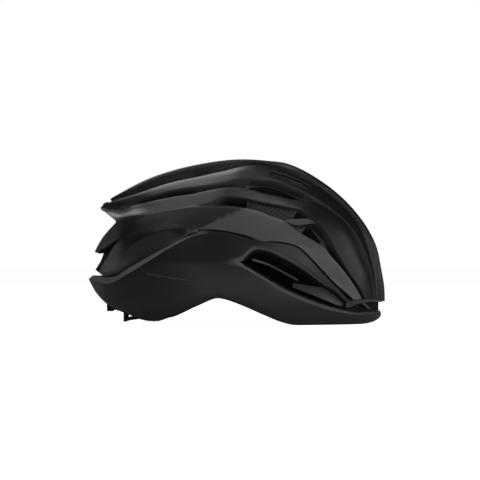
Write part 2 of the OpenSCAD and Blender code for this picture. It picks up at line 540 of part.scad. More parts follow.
// Plan of a band: along the head space, then out to the racks
rack_front = -109.3 * k.x;
band_z = [[-110, 22.5], [-90, 24], [-60, 30], [-16, 35], [8, 34.5], [30, 32]];
band_plan = concat([[temple_x - 3, eyelet_y], [temple_x - anchor_r - 1.5, eyelet_y],
    [temple_x - anchor_r - 7, eyelet_y + 2.2]],
    [for (x = [8, -4, -22, -40, -56, -69, -80, -88]) [x, wall_y(x, head_z, lining + band_t / 2)]],
    [[-95.5, 36.5], [-102, 31.5], [rack_front + seat_gap + band_t / 2, 26.5]]);
module band() {
    n = len(band_plan);
    function dir(i) = unit(band_plan[min(i + 1, n - 1)] - band_plan[max(i - 1, 0)]);
    function at(i, s, h) = let (d = dir(i), p = band_plan[i]) [p.x + d.y * s, p.y - d.x * s,
        curve_at(band_z, p.x) + h];
    function face(s) = [for (h = [band_h / 2, -band_h / 2]) [for (i = [n - 1 : -1 : 0]) at(i, s, h)]];
    color("#222326") difference() {
        union() {
            grid_solid(face(-band_t / 2), face(band_t / 2), [[for (i = [0 : n - 2]) true]]);
            translate([temple_x, 0, temple_z]) along_y(eyelet_r, eyelet_y - band_t / 2,
                eyelet_y + band_t / 2);
        }
        translate([temple_x, 0, temple_z]) along_y(temple_pin_r + run_gap, eyelet_y - band_t,
            eyelet_y + band_t);
    }
}
module left_band() { sided(true) band(); }
module right_band() { sided(false) band(); }

// Rack and pinion behind the cradle: distances from the dial axis
pitch_r = pinion_teeth * tooth_pitch / 360 * 180 / PI;
tooth_out = 0.6;
tooth_in = 0.9;
root_share = 0.31;
tip_share = 0.14;
rack_back = 2.6;
rack_t = 1.9;
gear_x = rack_front - rack_t;
plate_t = 2;
cover_x = gear_x - seat_gap - plate_t;
cradle_x = rack_front + seat_gap;
base_half = 22;
base_t = 2.5;
journal_r = 2;
ring_gap = 0.1;
ring_t = 0.8;
dial_front = cover_x - ring_gap - ring_t - seat_gap;
screw_r = 1.5;
screw_head_r = 3;
screw_head_t = 2;
hub_in_dial = 4;
rack_top = pitch_r + tooth_in + rack_back;

module at_dial(x) {
    translate([x, 0, dial_z]) rotate([0, 90, 0]) children();
}
rack_reach = 26.5;
rack_tab = 3.5;
module rack() {
    foot = pitch_r + tooth_in;
    tab_low = screw_r + 0.8;
    half_teeth = floor((rack_l - rack_reach) / tooth_pitch) - 1;
    teeth = [for (i = [-half_teeth : half_teeth - 1]) let (c = (i + 0.5) * tooth_pitch)
        each [[c - root_share * tooth_pitch, foot], [c - tip_share * tooth_pitch, pitch_r - tooth_out],
            [c + tip_share * tooth_pitch, pitch_r - tooth_out], [c + root_share * tooth_pitch, foot]]];
    tab = [[rack_reach - rack_tab, foot], [rack_reach - rack_tab, tab_low], [rack_reach, tab_low]];
    back = [[rack_reach, rack_top], [rack_reach - rack_l, rack_top], [rack_reach - rack_l, foot]];
    color("#3c3e42") translate([gear_x, 0, dial_z]) rotate([90, 0, 90]) linear_extrude(rack_t)
        polygon(concat(teeth, tab, back));
}
module left_rack() { rack(); }
module right_rack() {
    translate([0, 0, dial_z]) rotate([180, 0, 0]) translate([0, 0, -dial_z]) rack();
}
module pinion() {
    color("#c9c9c4") difference() {
        union() {
            translate([gear_x, 0, dial_z]) rotate([90, 0, 90]) linear_extrude(rack_t - run_gap) union() {
                circle(r = pitch_r - tooth_in);
                for (i = [0 : pinion_teeth - 1]) rotate(i * 360 / pinion_teeth + 90)
                    polygon([[pitch_r - tooth_in - 0.3, -root_share * tooth_pitch], [pitch_r + tooth_out,
                        -tip_share * tooth_pitch],
                        [pitch_r + tooth_out, tip_share * tooth_pitch], [pitch_r - tooth_in - 0.3,
                            root_share * tooth_pitch]]);
            }
            at_dial(dial_front - hub_in_dial) cylinder(r = shaft_r,
                h = gear_x - dial_front + hub_in_dial + eps);
            at_dial(gear_x + rack_t - run_gap - eps) cylinder(r = journal_r, h = 2);
        }
        at_dial(dial_front - hub_in_dial - eps) cylinder(r = screw_r + run_gap, h = hub_in_dial + 5);
    }
}
module gear_cover() {
    lid_z = rack_top + seat_gap;
    wall = 1.7;
    color("#26272a") difference() {
        translate([cover_x, -base_half, dial_z - lid_z - wall]) cube([cradle_x - cover_x, 2 * base_half,
            2 * (lid_z + wall)]);
        translate([cover_x + plate_t, -base_half - 1, dial_z - lid_z]) cube([cradle_x - cover_x,
            2 * base_half + 2, 2 * lid_z]);
        at_dial(cover_x - 1) cylinder(r = shaft_r + run_gap, h = plate_t + 2);
        for (y = [-1, 1]) translate([cover_x - 1, y * (base_half - 4), dial_z]) rotate([0, 90, 0])
            cylinder(r = screw_r + run_gap, h = plate_t + 2);
    }
}
module cover_screws() {
    color("#8a8c90") for (y = [-1, 1]) translate([0, y * (base_half - 4), dial_z]) rotate([0, 90, 0])
        union() {
        translate([0, 0, cover_x - 1.3]) cylinder(r = 2.6, h = 1.2);
        translate([0, 0, cover_x - 0.2]) cylinder(r = screw_r, h = cradle_x + 1.5 - cover_x);
    }
}
module click_ring() {
    color("#8a8c90") at_dial(cover_x - ring_gap - ring_t) difference() {
        union() {
            cylinder(r = 7, h = ring_t);
            for (a = [0 : 30 : 330]) rotate(a) translate([7, 0, 0]) cylinder(r = 0.8, h = ring_t, $fn = 16);
        }
        translate([0, 0, -1]) cylinder(r = shaft_r + 1, h = ring_t + 2);
    }
}
module fit_dial() {
    grips = 16;
    color("#2c2d30") difference() {
        at_dial(dial_front - dial_t) union() {
            cylinder(r = dial_r, h = dial_t - 2.5);
            cylinder(r = dial_r - 1.2, h = dial_t);
        }
        for (i = [0 : grips - 1]) at_dial(dial_front - dial_t - 1) rotate(i * 360 / grips)
            translate([dial_r + 0.9, 0, 0]) cylinder(r = 1.7, h = dial_t - 1.5, $fn = 24);
        at_dial(dial_front - hub_in_dial - seat_gap) cylinder(r = shaft_r + run_gap, h = hub_in_dial + 1);
        at_dial(dial_front - dial_t - 1) cylinder(r = screw_r + run_gap, h = dial_t + 2);
        at_dial(dial_front - dial_t - 1) cylinder(r = screw_head_r + 0.2, h = screw_head_t + 1.5);
    }
}
module dial_screw() {
    color("#8a8c90") difference() {
        union() {
            at_dial(dial_front - dial_t + 0.5 - eps) cylinder(r = screw_r, h = dial_t + 1);
            at_dial(dial_front - dial_t + 0.4) cylinder(r = screw_head_r, h = screw_head_t - 0.2);
        }
        at_dial(dial_front - dial_t - 1) cylinder(r = 1.2, h = 2.4, $fn = 6);
    }
}

// Rear cradle: a plate behind the head, with a loop on each side
cradle_c = cradle_r - 108 * k.x;
lobe_low = 1.4;
module lobes_outline() {
    difference() {
        polygon([[-8, 15], [8, 15], [30, 12], [cradle_half, 9], [cradle_half, 5], [8, lobe_low], [-8,
            lobe_low],
            [-cradle_half, 5], [-cradle_half, 9], [-30, 12]]);
        for (s = [-1, 1]) polygon([[13 * s, 4.4], [36 * s, 6.2], [33 * s, 9.2], [13 * s, 10.6]]);
    }
}
module rear_cradle() {
    color("#26272a") difference() {
        union() {
            intersection() {
                translate([cradle_c, 0, 0]) difference() {
                    cylinder(r = cradle_r, h = 30, $fn = 96);
                    translate([0, 0, -1]) cylinder(r = cradle_r - cradle_t, h = 32, $fn = 96);
                }
                translate([-120, 0, 0]) rotate([90, 0, 90]) linear_extrude(60) lobes_outline();
            }
            translate([cradle_x + run_gap, -base_half, dial_z - 10.4]) cube([base_t, 2 * base_half, 20.8]);
        }
        at_dial(cradle_x - 1) cylinder(r = journal_r + run_gap, h = 5);
        for (y = [-1, 1]) translate([cradle_x - 1, y * (base_half - 4), dial_z]) rotate([0, 90, 0])
            cylinder(r = screw_r + run_gap, h = 3);
    }
}
nape_pad_r = 1;
nape_pad_z = [4, 11];
nape_pad_az = [2, 11];
module nape_pad() {
    color("#141516") translate([cradle_c, 0, 0]) rotate([0, 0, 180 - nape_pad_az[1]])
        rotate_extrude(angle = nape_pad_az[1] - nape_pad_az[0], $fn = 96)
        translate([cradle_r - cradle_t - seat_gap - nape_pad_r, 0]) union() {
            translate([-nape_pad_r, nape_pad_z[0]]) square([2 * nape_pad_r, nape_pad_z[1] - nape_pad_z[0]]);
            for (z = nape_pad_z) translate([0, z]) circle(r = nape_pad_r, $fn = 24);
        }
}
module left_nape_pad() { sided(true) nape_pad(); }
module right_nape_pad() { sided(false) nape_pad(); }

// Hanger: an arc round the temple pivots, so it slides in its guide as the cradle swings
hanger_r = 129;
hanger_t = 1.5;
hanger_low = 182;
hanger_top = 164.5;
guide_low = 170.5;
guide_top = 165.5;
module temple_arc(from, to) {
    translate([temple_x, 0, temple_z]) rotate([90, 0, 0]) rotate([0, 0, from])
        rotate_extrude(angle = to - from, $fn = 180) children();
}
module height_hanger() {
    color("#2a2b2e") difference() {
        union() {
            temple_arc(hanger_top, hanger_low) translate([hanger_r, -hanger_w / 2]) square([hanger_t,
                hanger_w]);
            translate([cradle_x + run_gap + base_t + seat_gap, -hanger_w / 2, dial_z + 4.5])
                cube([temple_x - hanger_r + 0.5 - cradle_x - run_gap - base_t - seat_gap, hanger_w, 4]);
        }
        for (a = [168, 172, 176]) translate([temple_x, 0, temple_z]) rotate([0, -a, 0])
            translate([hanger_r - 2, 0, 0])
            rotate([0, 90, 0]) cylinder(r = 1.6, h = 6, $fn = 24);
    }
}
module hanger_guide() {
    slot = seat_gap;
    wall = 1.3;
    color("#2a2b2e") temple_arc(guide_top, guide_low) difference() {
        translate([hanger_r - slot - wall, -hanger_w / 2 - slot - wall])
            square([hanger_t + 2 * slot + 2 * wall + 0.7, hanger_w + 2 * slot + 2 * wall]);
        translate([hanger_r - slot, -hanger_w / 2 - slot]) square([hanger_t + 2 * slot,
            hanger_w + 2 * slot]);
    }
}

// Webbing on the wall of the head space: side-view points, and the inset of its middle
strap_inset = 3.4;
function wall_point(x, z, d) = [x, wall_y(x, z, d), z];
function wall_normal(p) = let (d = p - head) unit([d.x / head_half.x ^ 2, d.y / head_half.y ^ 2, max(0,
    d.z) / head_half.z ^ 2]);
module webbing(points, w, t) {
    n = len(points);
    function along(i) = unit(points[min(i + 1, n - 1)] - points[max(i - 1, 0)]);
    function sideways(i) = unit(cross(wall_normal(points[i]), along(i)));
    function at(i, s, d) = points[i] + sideways(i) * s * w / 2 + wall_normal(points[i]) * d * t / 2;
    grid_solid([for (s = [1, -1]) [for (i = [0 : n - 1]) at(i, s, 1)]], [for (s = [1, -1]) [for (i = [0 :
        n - 1]) at(i, s, -1)]],
        [[for (i = [0 : n - 2]) true]]);
}
front_anchor = [44, 51];
rear_anchor = [-66, 52];
divider_x = -5;
divider_z = 76;
divider_l = 24;
divider_h = 18;
divider_slope = atan2((divider_z - head_z) / head_half.z ^ 2, wall_y(divider_x, divider_z,
    0) / head_half.y ^ 2);
strap_end = divider_l / 2 + seat_gap + 0.4;
front_strap_side = [[41, 53], [34, 57.5], [26, 63.5], [18, 70], [divider_x + strap_end + 5, 73],
    [divider_x + strap_end, 73]];
rear_strap_side = [[-63, 53.5], [-54, 57.5], [-44, 63], [-32, 69.5], [divider_x - strap_end - 5, 73],
    [divider_x - strap_end, 73]];
module side_strap(points) {
    color("#17181a") webbing([for (p = points) wall_point(p.x, p.y, strap_inset)], strap_w, strap_t);
}
module left_front_strap() { sided(true) side_strap(front_strap_side); }
module right_front_strap() { sided(false) side_strap(front_strap_side); }
module left_rear_strap() { sided(true) side_strap([for (i = [len(rear_strap_side) - 1 : -1 : 0])
    rear_strap_side[i]]); }
module right_rear_strap() { sided(false) side_strap([for (i = [len(rear_strap_side) - 1 : -1 : 0])
    rear_strap_side[i]]); }

// Anchors: discs square to the wall, with a slot for the webbing
strap_anchor_r = 8;
strap_anchor_seat = 0.8;
module strap_anchor(p) {
    w = wall_point(p.x, p.y, 0);
    n = wall_normal(w);
    translate(w - n * strap_anchor_seat) rotate([0, acos(n.z), atan2(n.y, n.x)]) rotate([180, 0, 0])
        difference() {
        cylinder(r = strap_anchor_r, h = 1.6);
        translate([2, -strap_w / 2 + 1, -1]) cube([strap_t + 0.6, strap_w - 2, 4]);
    }
}
module front_strap_anchors() {
    color("#2a2b2e") for (left = [true, false]) sided(left) strap_anchor(front_anchor);
}
module rear_strap_anchors() {
    color("#2a2b2e") for (left = [true, false]) sided(left) strap_anchor(rear_anchor);
}

// Dividers with cam levers, drawn flat with the head side up
ear_t = 1.6;
pin_z = 4.9;
pin_y = -5;
lever_w = divider_l - 2 * ear_t - 2 * seat_gap;
module at_divider() {
    translate(wall_point(divider_x, divider_z, strap_inset - strap_t / 2)) rotate([90 + divider_slope, 0,
        0]) children();
}
module divider() {
    color("#26272a") at_divider() difference() {
        union() {
            translate([-divider_l / 2, -divider_h / 2, 0]) cube([divider_l, divider_h, 2.5]);
            for (s = [0, 1]) translate([s == 0 ? -divider_l / 2 : divider_l / 2 - ear_t, pin_y - 2.5, 0])
                cube([ear_t, 5, pin_z + 2]);
        }
        translate([-divider_l, pin_y, pin_z]) rotate([0, 90, 0]) cylinder(r = cam_pin_r + run_gap,
            h = 2 * divider_l);
        translate([-strap_w / 2, divider_h / 2 - 4.5, -1]) cube([strap_w, 2, 5]);
    }
}
module cam() {
    color("#35373b") at_divider() union() {
        translate([-divider_l / 2, pin_y, pin_z]) rotate([0, 90, 0]) cylinder(r = cam_pin_r, h = divider_l);
        translate([-lever_w / 2, pin_y, pin_z]) rotate([0, 90, 0]) cylinder(r = 2.1, h = lever_w);
        translate([-lever_w / 2, pin_y, pin_z - 2.1]) cube([lever_w, divider_h / 2 - pin_y, 2.2]);
    }
}
module left_divider() { sided(true) divider(); }
module right_divider() { sided(false) divider(); }
module left_cam() { sided(true) cam(); }
module right_cam() { sided(false) cam(); }

// Chin strap, stowed over the crown with its buckle fastened
buckle_top = 114;
socket_l = 22;
plug_l = 12;
buckle_z = buckle_top - buckle_t / 2;
module chin_strap(end) {
    start = wall_point(divider_x, divider_z, strap_inset) + [0, -sin(divider_slope),
        cos(divider_slope)] * (divider_h / 2 + seat_gap + 0.5);
    over = [for (z = [91, 97, 102.5, 107]) wall_point(divider_x, z, strap_inset + 0.4)];
    flat_part = [[divider_x, 30, buckle_z - 0.6], [divider_x, end + 4, buckle_z - 0.1], [divider_x,
        end + seat_gap, buckle_z]];
    color("#17181a") webbing(concat([start], over, flat_part), strap_w, strap_t);
}
module left_chin_strap() { sided(true) chin_strap(socket_l); }
module right_chin_strap() { sided(false) chin_strap(plug_l); }
chin_pad_t = 2.6;
module chin_pad() {
    function at(i, j, d) = let (u = i / 4, v = j / 6, p = wall_point(divider_x, mixed(91, 105, v),
        strap_inset + 0.4 + strap_t / 2 + seat_gap + d * pad_profile(u, v)))
        p + [mixed(11, -11, u), 0, 0];
    color("#141516") grid_solid([for (i = [0 : 4]) [for (j = [0 : 6]) at(i, j, 0)]], [for (i = [0 : 4])
        [for (j = [0 : 6]) at(i, j, chin_pad_t)]],
        [for (i = [0 : 3]) [for (j = [0 : 5]) true]]);
}

// Buckle: the socket holds the left strap and the plug the right one
prong_l = 13;
module at_buckle() {
    translate([divider_x, 0, buckle_z]) children();
}
module buckle_socket() {
    wall = 1.8;
    color("#1c1d1f") at_buckle() difference() {
        translate([-buckle_w / 2, 0, -buckle_t / 2]) cube([buckle_w, socket_l, buckle_t]);
        translate([-buckle_w / 2 + wall, -1, -buckle_t / 2 + wall]) cube([buckle_w - 2 * wall,
            prong_l + 2, buckle_t - 2 * wall]);
        for (s = [-1, 1]) translate([s * buckle_w / 2 - wall, 4, -1.5]) cube([2 * wall, 7, 3]);
        translate([-strap_w / 2 - 0.5, socket_l - 5, -buckle_t]) cube([strap_w + 1, 2.4, 2 * buckle_t]);
    }
}
module buckle_plug() {
    room = buckle_w - 2 * 1.8 - 2 * seat_gap;
    tall = buckle_t - 2 * 1.8 - 2 * seat_gap;
    color("#1c1d1f") at_buckle() difference() {
        union() {
            translate([-buckle_w / 2, -plug_l, -buckle_t / 2 + 1]) cube([buckle_w, plug_l - seat_gap,
                buckle_t - 2]);
            for (x = [-room / 2, -1.5, room / 2 - 3]) translate([x, -1, -tall / 2]) cube([3, prong_l + 1,
                tall]);
        }
        translate([-strap_w / 2 - 0.5, 3.2 - plug_l, -buckle_t]) cube([strap_w + 1, 2.4, 2 * buckle_t]);
    }
}
module strap_keeper() {
    p = wall_point(divider_x, 97, strap_inset + 0.4);
    n = wall_normal(p);
    color("#17181a") sided(false) translate(p) rotate([-atan2(n.y, n.z), 0, 0]) difference() {
        cube([strap_w + 4, 5, strap_t + 3], center = true);
        cube([strap_w + 3 * seat_gap, 7, strap_t + 3 * seat_gap], center = true);
    }
}
upper_shell();
lower_shell();
carbon_cage();
front_crown_liner();
rear_crown_liner();
rim_liner();
left_vent_net();
right_vent_net();
rear_bridge();
brow_struts();
brow_pad();
front_crown_pad();
rear_crown_pad();
left_side_pad();
right_side_pad();
left_temple_anchor();
right_temple_anchor();
left_band();
right_band();
rear_cradle();
left_nape_pad();
right_nape_pad();
gear_cover();
cover_screws();
left_rack();
right_rack();
pinion();
click_ring();
fit_dial();
dial_screw();
height_hanger();
hanger_guide();
front_strap_anchors();
rear_strap_anchors();
left_front_strap();
right_front_strap();
left_rear_strap();
right_rear_strap();
left_divider();
right_divider();
left_cam();
right_cam();
left_chin_strap();
right_chin_strap();
chin_pad();
buckle_socket();
buckle_plug();
strap_keeper();
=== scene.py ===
# Road bike helmet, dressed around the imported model. Lengths in the tables are millimetres.
import json
import math

import bpy
import numpy as np
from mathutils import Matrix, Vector

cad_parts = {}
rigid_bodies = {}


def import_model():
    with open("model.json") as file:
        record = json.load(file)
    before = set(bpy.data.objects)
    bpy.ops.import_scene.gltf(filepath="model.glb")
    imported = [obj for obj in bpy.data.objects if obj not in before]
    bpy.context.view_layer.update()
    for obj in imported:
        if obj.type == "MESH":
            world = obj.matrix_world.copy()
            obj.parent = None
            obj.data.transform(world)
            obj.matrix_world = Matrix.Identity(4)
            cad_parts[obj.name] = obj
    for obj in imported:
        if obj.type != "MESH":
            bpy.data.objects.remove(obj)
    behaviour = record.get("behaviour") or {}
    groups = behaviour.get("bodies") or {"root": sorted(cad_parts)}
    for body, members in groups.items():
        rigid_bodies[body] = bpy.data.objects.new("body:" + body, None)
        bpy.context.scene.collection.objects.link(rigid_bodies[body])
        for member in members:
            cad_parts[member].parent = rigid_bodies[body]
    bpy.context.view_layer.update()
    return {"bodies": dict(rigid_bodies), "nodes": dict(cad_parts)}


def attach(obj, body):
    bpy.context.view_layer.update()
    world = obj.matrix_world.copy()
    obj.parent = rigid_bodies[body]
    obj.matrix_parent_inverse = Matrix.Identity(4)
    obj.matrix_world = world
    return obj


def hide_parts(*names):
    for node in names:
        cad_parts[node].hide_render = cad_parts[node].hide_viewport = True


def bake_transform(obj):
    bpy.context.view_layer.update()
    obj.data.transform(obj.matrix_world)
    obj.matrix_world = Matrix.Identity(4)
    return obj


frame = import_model()
print("frame loaded", len(frame["nodes"]), "nodes")

mm = 0.001
tiny = 1e-6  # keeps a divisor away from zero
sides = (("left", 1), ("right", -1))

# An ellipsoid with upright walls below its centre, and an arch at the nape for the fit system
headSpace = {
    "centre": (-2, 0, 30), "half": (102, 79, 92), "groove": 4,
    "archRise": 24, "archHalf": 60, "archFront": (60, 85), "archTop": (25, 95),
}

# The half width falls from the middle to the outline, whose radius is listed by its angle round the level
envelope = {"width": 205, "level": 35,
    "radius": [[-90, 112], [-45, 128], [-11, 142.3], [0, 142.6], [16, 140.2], [29, 136.8], [41, 133], [52, 130.5],
        [62, 129], [68, 127.8], [75, 125.5], [86, 122.6], [99, 121.8], [112, 124.8], [124, 131], [133, 140],
        [141, 150], [150, 158], [160, 158], [170, 153], [180, 149.5], [190, 146.5], [225, 130], [270, 112]]}

# Side-view curves of the upper shell, [x, z], tail to front
upperCurves = {
    "crown": [[-119, 120], [-106.5, 127], [-82.5, 139], [-58.5, 147], [-29, 153.5], [8.5, 157], [31.5, 155.5],
        [47, 153.5], [61.5, 148], [80.5, 137], [100, 122], [114, 107.5], [126, 91], [134.5, 73.5], [139, 52.5],
        [142, 34.5], [142.5, 21]],
    "spine": [[-120, 118], [-106.5, 125.5], [-82.5, 135.5], [-58.5, 142.5], [-34.5, 147], [-10.5, 151.5], [8.5, 155],
        [28, 153.5], [47, 148], [61.5, 142.5], [80.5, 133], [100, 118.5], [114, 103.5], [125, 85], [131.5, 64],
        [135, 43], [135.5, 22]],
    "ribTwoTop": [[-123.5, 113.5], [-113.5, 118.5], [-102, 121], [-82.5, 127.5], [-58.5, 135], [-34.5, 140],
        [-10.5, 145.5], [8.5, 150], [28, 150], [47, 145], [61.5, 139], [80.5, 129.5], [98, 115.5], [111.5, 101],
        [121, 84.5], [127.5, 65], [132, 43], [133.5, 22.5]],
    "ribTwoMid": [[-126, 112.5], [-111.5, 116.5], [-97, 121], [-82.5, 124.5], [-58.5, 131], [-34.5, 135],
        [-13.5, 140], [8.5, 146.5], [30, 146], [45, 142], [60.5, 136], [78.5, 125.5], [96, 110], [108.5, 96],
        [119, 77.5], [126, 59.5], [130.5, 41], [132.5, 23]],
    "ribTwoLow": [[-127.5, 111.5], [-110.5, 112], [-97, 116.5], [-80.5, 121], [-58.5, 126.5], [-34.5, 130],
        [-15.5, 132.5], [4, 136], [21, 137], [38.5, 135], [57.5, 127.5], [76, 118], [94, 106], [105.5, 96],
        [115, 83.5], [122, 68], [127.5, 52.5], [130, 38], [130.5, 23]],
    "ribThreeTop": [[-128.5, 110], [-110.5, 108], [-97, 112], [-80.5, 116], [-61.5, 120], [-41.5, 123], [-20, 127.5],
        [-1, 129.5], [14.5, 127], [28, 123.5], [51, 118.5], [63.5, 116.5], [77, 112], [90, 105], [102, 95.5],
        [111.5, 81.5], [118.5, 66], [124.5, 50.5], [127.5, 37], [128.5, 23]],
    "ribThreeMid": [[-125, 108], [-110.5, 105], [-97, 108.5], [-80.5, 111.5], [-61.5, 115], [-41.5, 118], [-20, 123],
        [-1, 124.5], [14.5, 122], [32.5, 118.5], [51, 115], [63.5, 112], [77, 106], [90, 97], [102, 85], [112, 66],
        [121, 44], [125.5, 24]],
    "ribThreeLow": [[-114, 99], [-102, 103], [-82.5, 105.5], [-63.5, 109], [-47, 111.5], [-30, 113.5], [-14, 119.5],
        [7.5, 119], [17.5, 116.5], [28, 114], [47, 110.5], [59.5, 108.5], [72, 101.5], [80.5, 93], [88, 83.5],
        [96, 67], [106, 49], [114, 38.5], [122, 24]],
    "sideTop": [[-113, 96], [-102, 101.5], [-82.5, 103.5], [-63.5, 107], [-47, 109.5], [-26, 111.5], [4, 110.5],
        [13.5, 109], [23, 106.5], [32.5, 102.5], [47, 97], [58.5, 88], [70, 81], [81.5, 74], [91.5, 62.5],
        [108, 42.5], [119.5, 24]],
    "sideMid": [[-126, 82.5], [-113.5, 91], [-102, 96], [-82.5, 99.5], [-58.5, 103.5], [-34.5, 106], [-10.5, 106.5],
        [8.5, 104], [23, 99.5], [37.5, 94], [52, 86], [64.5, 78.5], [76, 70], [87.5, 56.5], [100, 42], [117, 24]],
    "finLow": [[-133.5, 68.5], [-123, 74.5], [-111.5, 82], [-97, 88], [-78, 94], [-58.5, 97], [-39.5, 97],
        [-20, 96.5], [-1, 93.5], [18, 89], [34.5, 85], [50, 81], [61.5, 77], [73, 67], [84.5, 53.5], [97, 39.5],
        [115, 23.5]],
    "pillar": [[-130, 49.5], [-121, 64.5], [-111.5, 77], [-97, 83.5], [-78, 90.5], [-58.5, 93.5], [-39.5, 93.5],
        [-20, 93], [-1, 90.5], [18, 86], [34.5, 82], [50, 79], [60, 75.5], [70.5, 65.5], [82.5, 53], [95, 39.5],
        [113, 23.5]],
    "crease": [[-127, 48], [-117, 51.5], [-110.5, 60.5], [-102, 69.5], [-90.5, 79], [-82.5, 83.5], [-73, 87.5],
        [-58.5, 90], [-34.5, 90], [-20, 89.5], [-6, 87.5], [8.5, 84], [23.5, 79.5], [40, 78], [57, 74], [68.5, 64.5],
        [80.5, 52], [93, 39], [110.5, 23.5]],
    "scoop": [[-132.5, 46], [-116, 46.5], [-109.5, 48.5], [-92, 58.5], [-73, 69], [-54, 79], [-42, 86.5], [-20, 88.5],
        [8.5, 83], [40, 77], [57, 73], [68, 64], [80, 51.5], [92.5, 38.5], [110, 23]],
}

# Side-view curves of the lower shell and its foam, from the top edge down
lowerCurves = {
    "lip": [[-142, 45.5], [-125, 44.5], [-117.5, 45.5], [-111.5, 48.5], [-102, 54.5], [-83, 65], [-63.5, 75],
        [-45.5, 84], [-34.5, 88], [-20, 87.5], [-6, 86], [8.5, 82], [23.5, 78], [40, 76.5], [56.5, 72.5], [68, 62.5],
        [79.5, 50], [92, 37], [108, 21.5], [122, 14], [138.5, 13]],
    "lipLow": [[-141.5, 42], [-125, 39], [-116, 40], [-103.5, 47], [-82, 60], [-65.5, 70.5], [-47.5, 80.5],
        [-34.5, 85], [-20, 85], [-6, 83], [8.5, 78.5], [20, 75.5], [32.5, 73.5], [47, 68], [61.5, 59], [75, 47.5],
        [90, 35], [107.5, 20.5], [122, 13.5], [138.5, 12.5]],
    "ventTop": [[-140.5, 40.5], [-135.5, 36.5], [-116, 34.5], [-102, 40], [-82.5, 49.5], [-63.5, 56.5], [-44, 59.5],
        [-25, 60], [-7.5, 60.5], [6, 60.5], [13.5, 67], [20, 71], [31.5, 69], [42, 64], [61.5, 53], [82.5, 38.5],
        [96, 30], [107, 20], [122, 13], [138.5, 12]],
    "ventLow": [[-140, 39.5], [-134.5, 33.5], [-116, 29.5], [-102, 34.5], [-82.5, 43], [-63.5, 50], [-44, 54.5],
        [-25, 57.5], [-7.5, 58.5], [6, 58.5], [23.5, 49], [45, 36.5], [63.5, 28], [85.5, 19.5], [106, 14], [119, 12],
        [138.5, 11.5]],
    "bodyMid": [[-139.5, 39], [-132.5, 30], [-113.5, 22], [-97, 22], [-82.5, 25.5], [-68, 30.5], [-54, 34.5],
        [-37.5, 38], [-20, 40], [-1, 40], [18, 34.5], [37.5, 26.5], [56.5, 20], [76, 14], [95, 9.5], [114, 7.5],
        [139.5, 8]],
    "rim": [[-139, 38.5], [-130.5, 26], [-121.5, 18], [-110.5, 12.5], [-101, 9], [-90.5, 5], [-79.5, 3.5], [-73, 4.5],
        [-54, 11.5], [-34.5, 19.5], [-20.5, 25], [-11, 24.5], [7.5, 18], [28, 9.5], [45, 3], [61.5, -0.5], [85.5, -1],
        [111, -0.5], [129.5, 1], [137.5, 4]],
    "foamTop": [[-141, 44.5], [-132, 42], [-125, 41.5], [-116, 42], [-109.5, 46.5], [-92, 56.5], [-73, 67], [-54, 77],
        [-42, 84.5], [-20, 86], [8.5, 80.5], [40, 74.5], [57, 70.5], [68, 61], [80, 48.5], [92.5, 36], [107, 20],
        [122, 13], [138.5, 12]],
}

upper = {
    "columns": 25, "cells": 6, "fan": (0, -7),  # the columns fan out from this point
    "spineHalf": 19, "spineShare": 0.3, "edgeShare": 0.7,
    "ridgeShare": 0.84, "ridgeDrop": 0.5, "ridgeRadius": 1.6,  # the flat top of the crown
    # depth, where it starts, is full, fades and ends, and the share of it at the end
    "crownChannel": (8, -0.1, 0, 0.7, 1, 0.75),
    "upperChannel": (7, 0.03, 0.1, 0.66, 0.85, 0.65),
    "sideChannel": (9, 0.243, 0.285, 0.8, 1, 0.75),
    "scoop": 6, "scoopFade": (0.15, 0.3), "scoopTurn": 1.7,
    "channelWall": (0.15, 0.09),  # share of a channel's width, and how much steeper it is beside an opening
    # openings by band, as first and last column
    "openings": {2: [(3, 6), (7, 10), (11, 14), (15, 19)], 5: [(11.4, 14.3)], 8: [(3, 6), (10, 14.5)],
                 13: [(6.1, 18)], 17: [(-2, 2)]},
    "tapers": {2: (0.94, 1.0), 5: (0.9, 0.5), 8: (0.94, 1.0), 13: (0.96, 1.2), 17: (0.9, 1.0)},  # width share, sink
    "leastGap": 0.012, "slotEnds": (5, 0.25),
    "cutAway": {19: [(8, 24)]},
    "radii": [12, 1.2, 2, 2, 1.1, 1.4, 0.9, 1, 2, 2, 1.1, 2.2, 0.8, 2, 2, 1.1, 14, 1.4, 1.2, 1, 1],
    "skin": 1.6,
}


# A smooth curve through the rows of a table, read at the given values
def curveAt(curve, values):
    keys, data = np.array(curve, float).T
    steep = np.gradient(data, keys)
    steep[1:-1] = (data[2:] - data[:-2]) / (keys[2:] - keys[:-2])
    v = np.asarray(values, float)
    i = np.clip(np.searchsorted(keys, v) - 1, 0, len(keys) - 2)
    h = keys[i + 1] - keys[i]
    s = np.clip((v - keys[i]) / h, 0, 1)
    return (data[i] * (2 * s**3 - 3 * s**2 + 1) + steep[i] * h * (s**3 - 2 * s**2 + s)
            + data[i + 1] * (3 * s**2 - 2 * s**3) + steep[i + 1] * h * (s**3 - s**2))


def ramp(v, start, end):
    return np.clip((np.asarray(v, float) - start) / (end - start), 0, 1)


def mixed(a, b, s):
    return a + (b - a) * s


def lengthOf(vectors, least=tiny):
    return np.maximum(np.linalg.norm(vectors, axis=-1, keepdims=True), least)


# 0 in the middle of the side view and 1 on the outline
def envelopeShare(x, z):
    z = z - envelope["level"]
    angle = np.degrees(np.arctan2(z, x))
    return np.hypot(x, z) / curveAt(envelope["radius"], np.where(angle < -90, angle + 360, angle))


def halfWidth(x, z):
    return envelope["width"] / 2 * np.sqrt(np.maximum(0, 1 - envelopeShare(x, z) ** 2))


# Each value becomes the mean of itself and its neighbours, two times
def smoothed(values):
    for _ in range(2):
        last = len(values) - 1
        values = np.array([values[j - w:j + w + 1].mean() for j in range(last + 1) for w in [min(2, j, last - j)]])
    return values


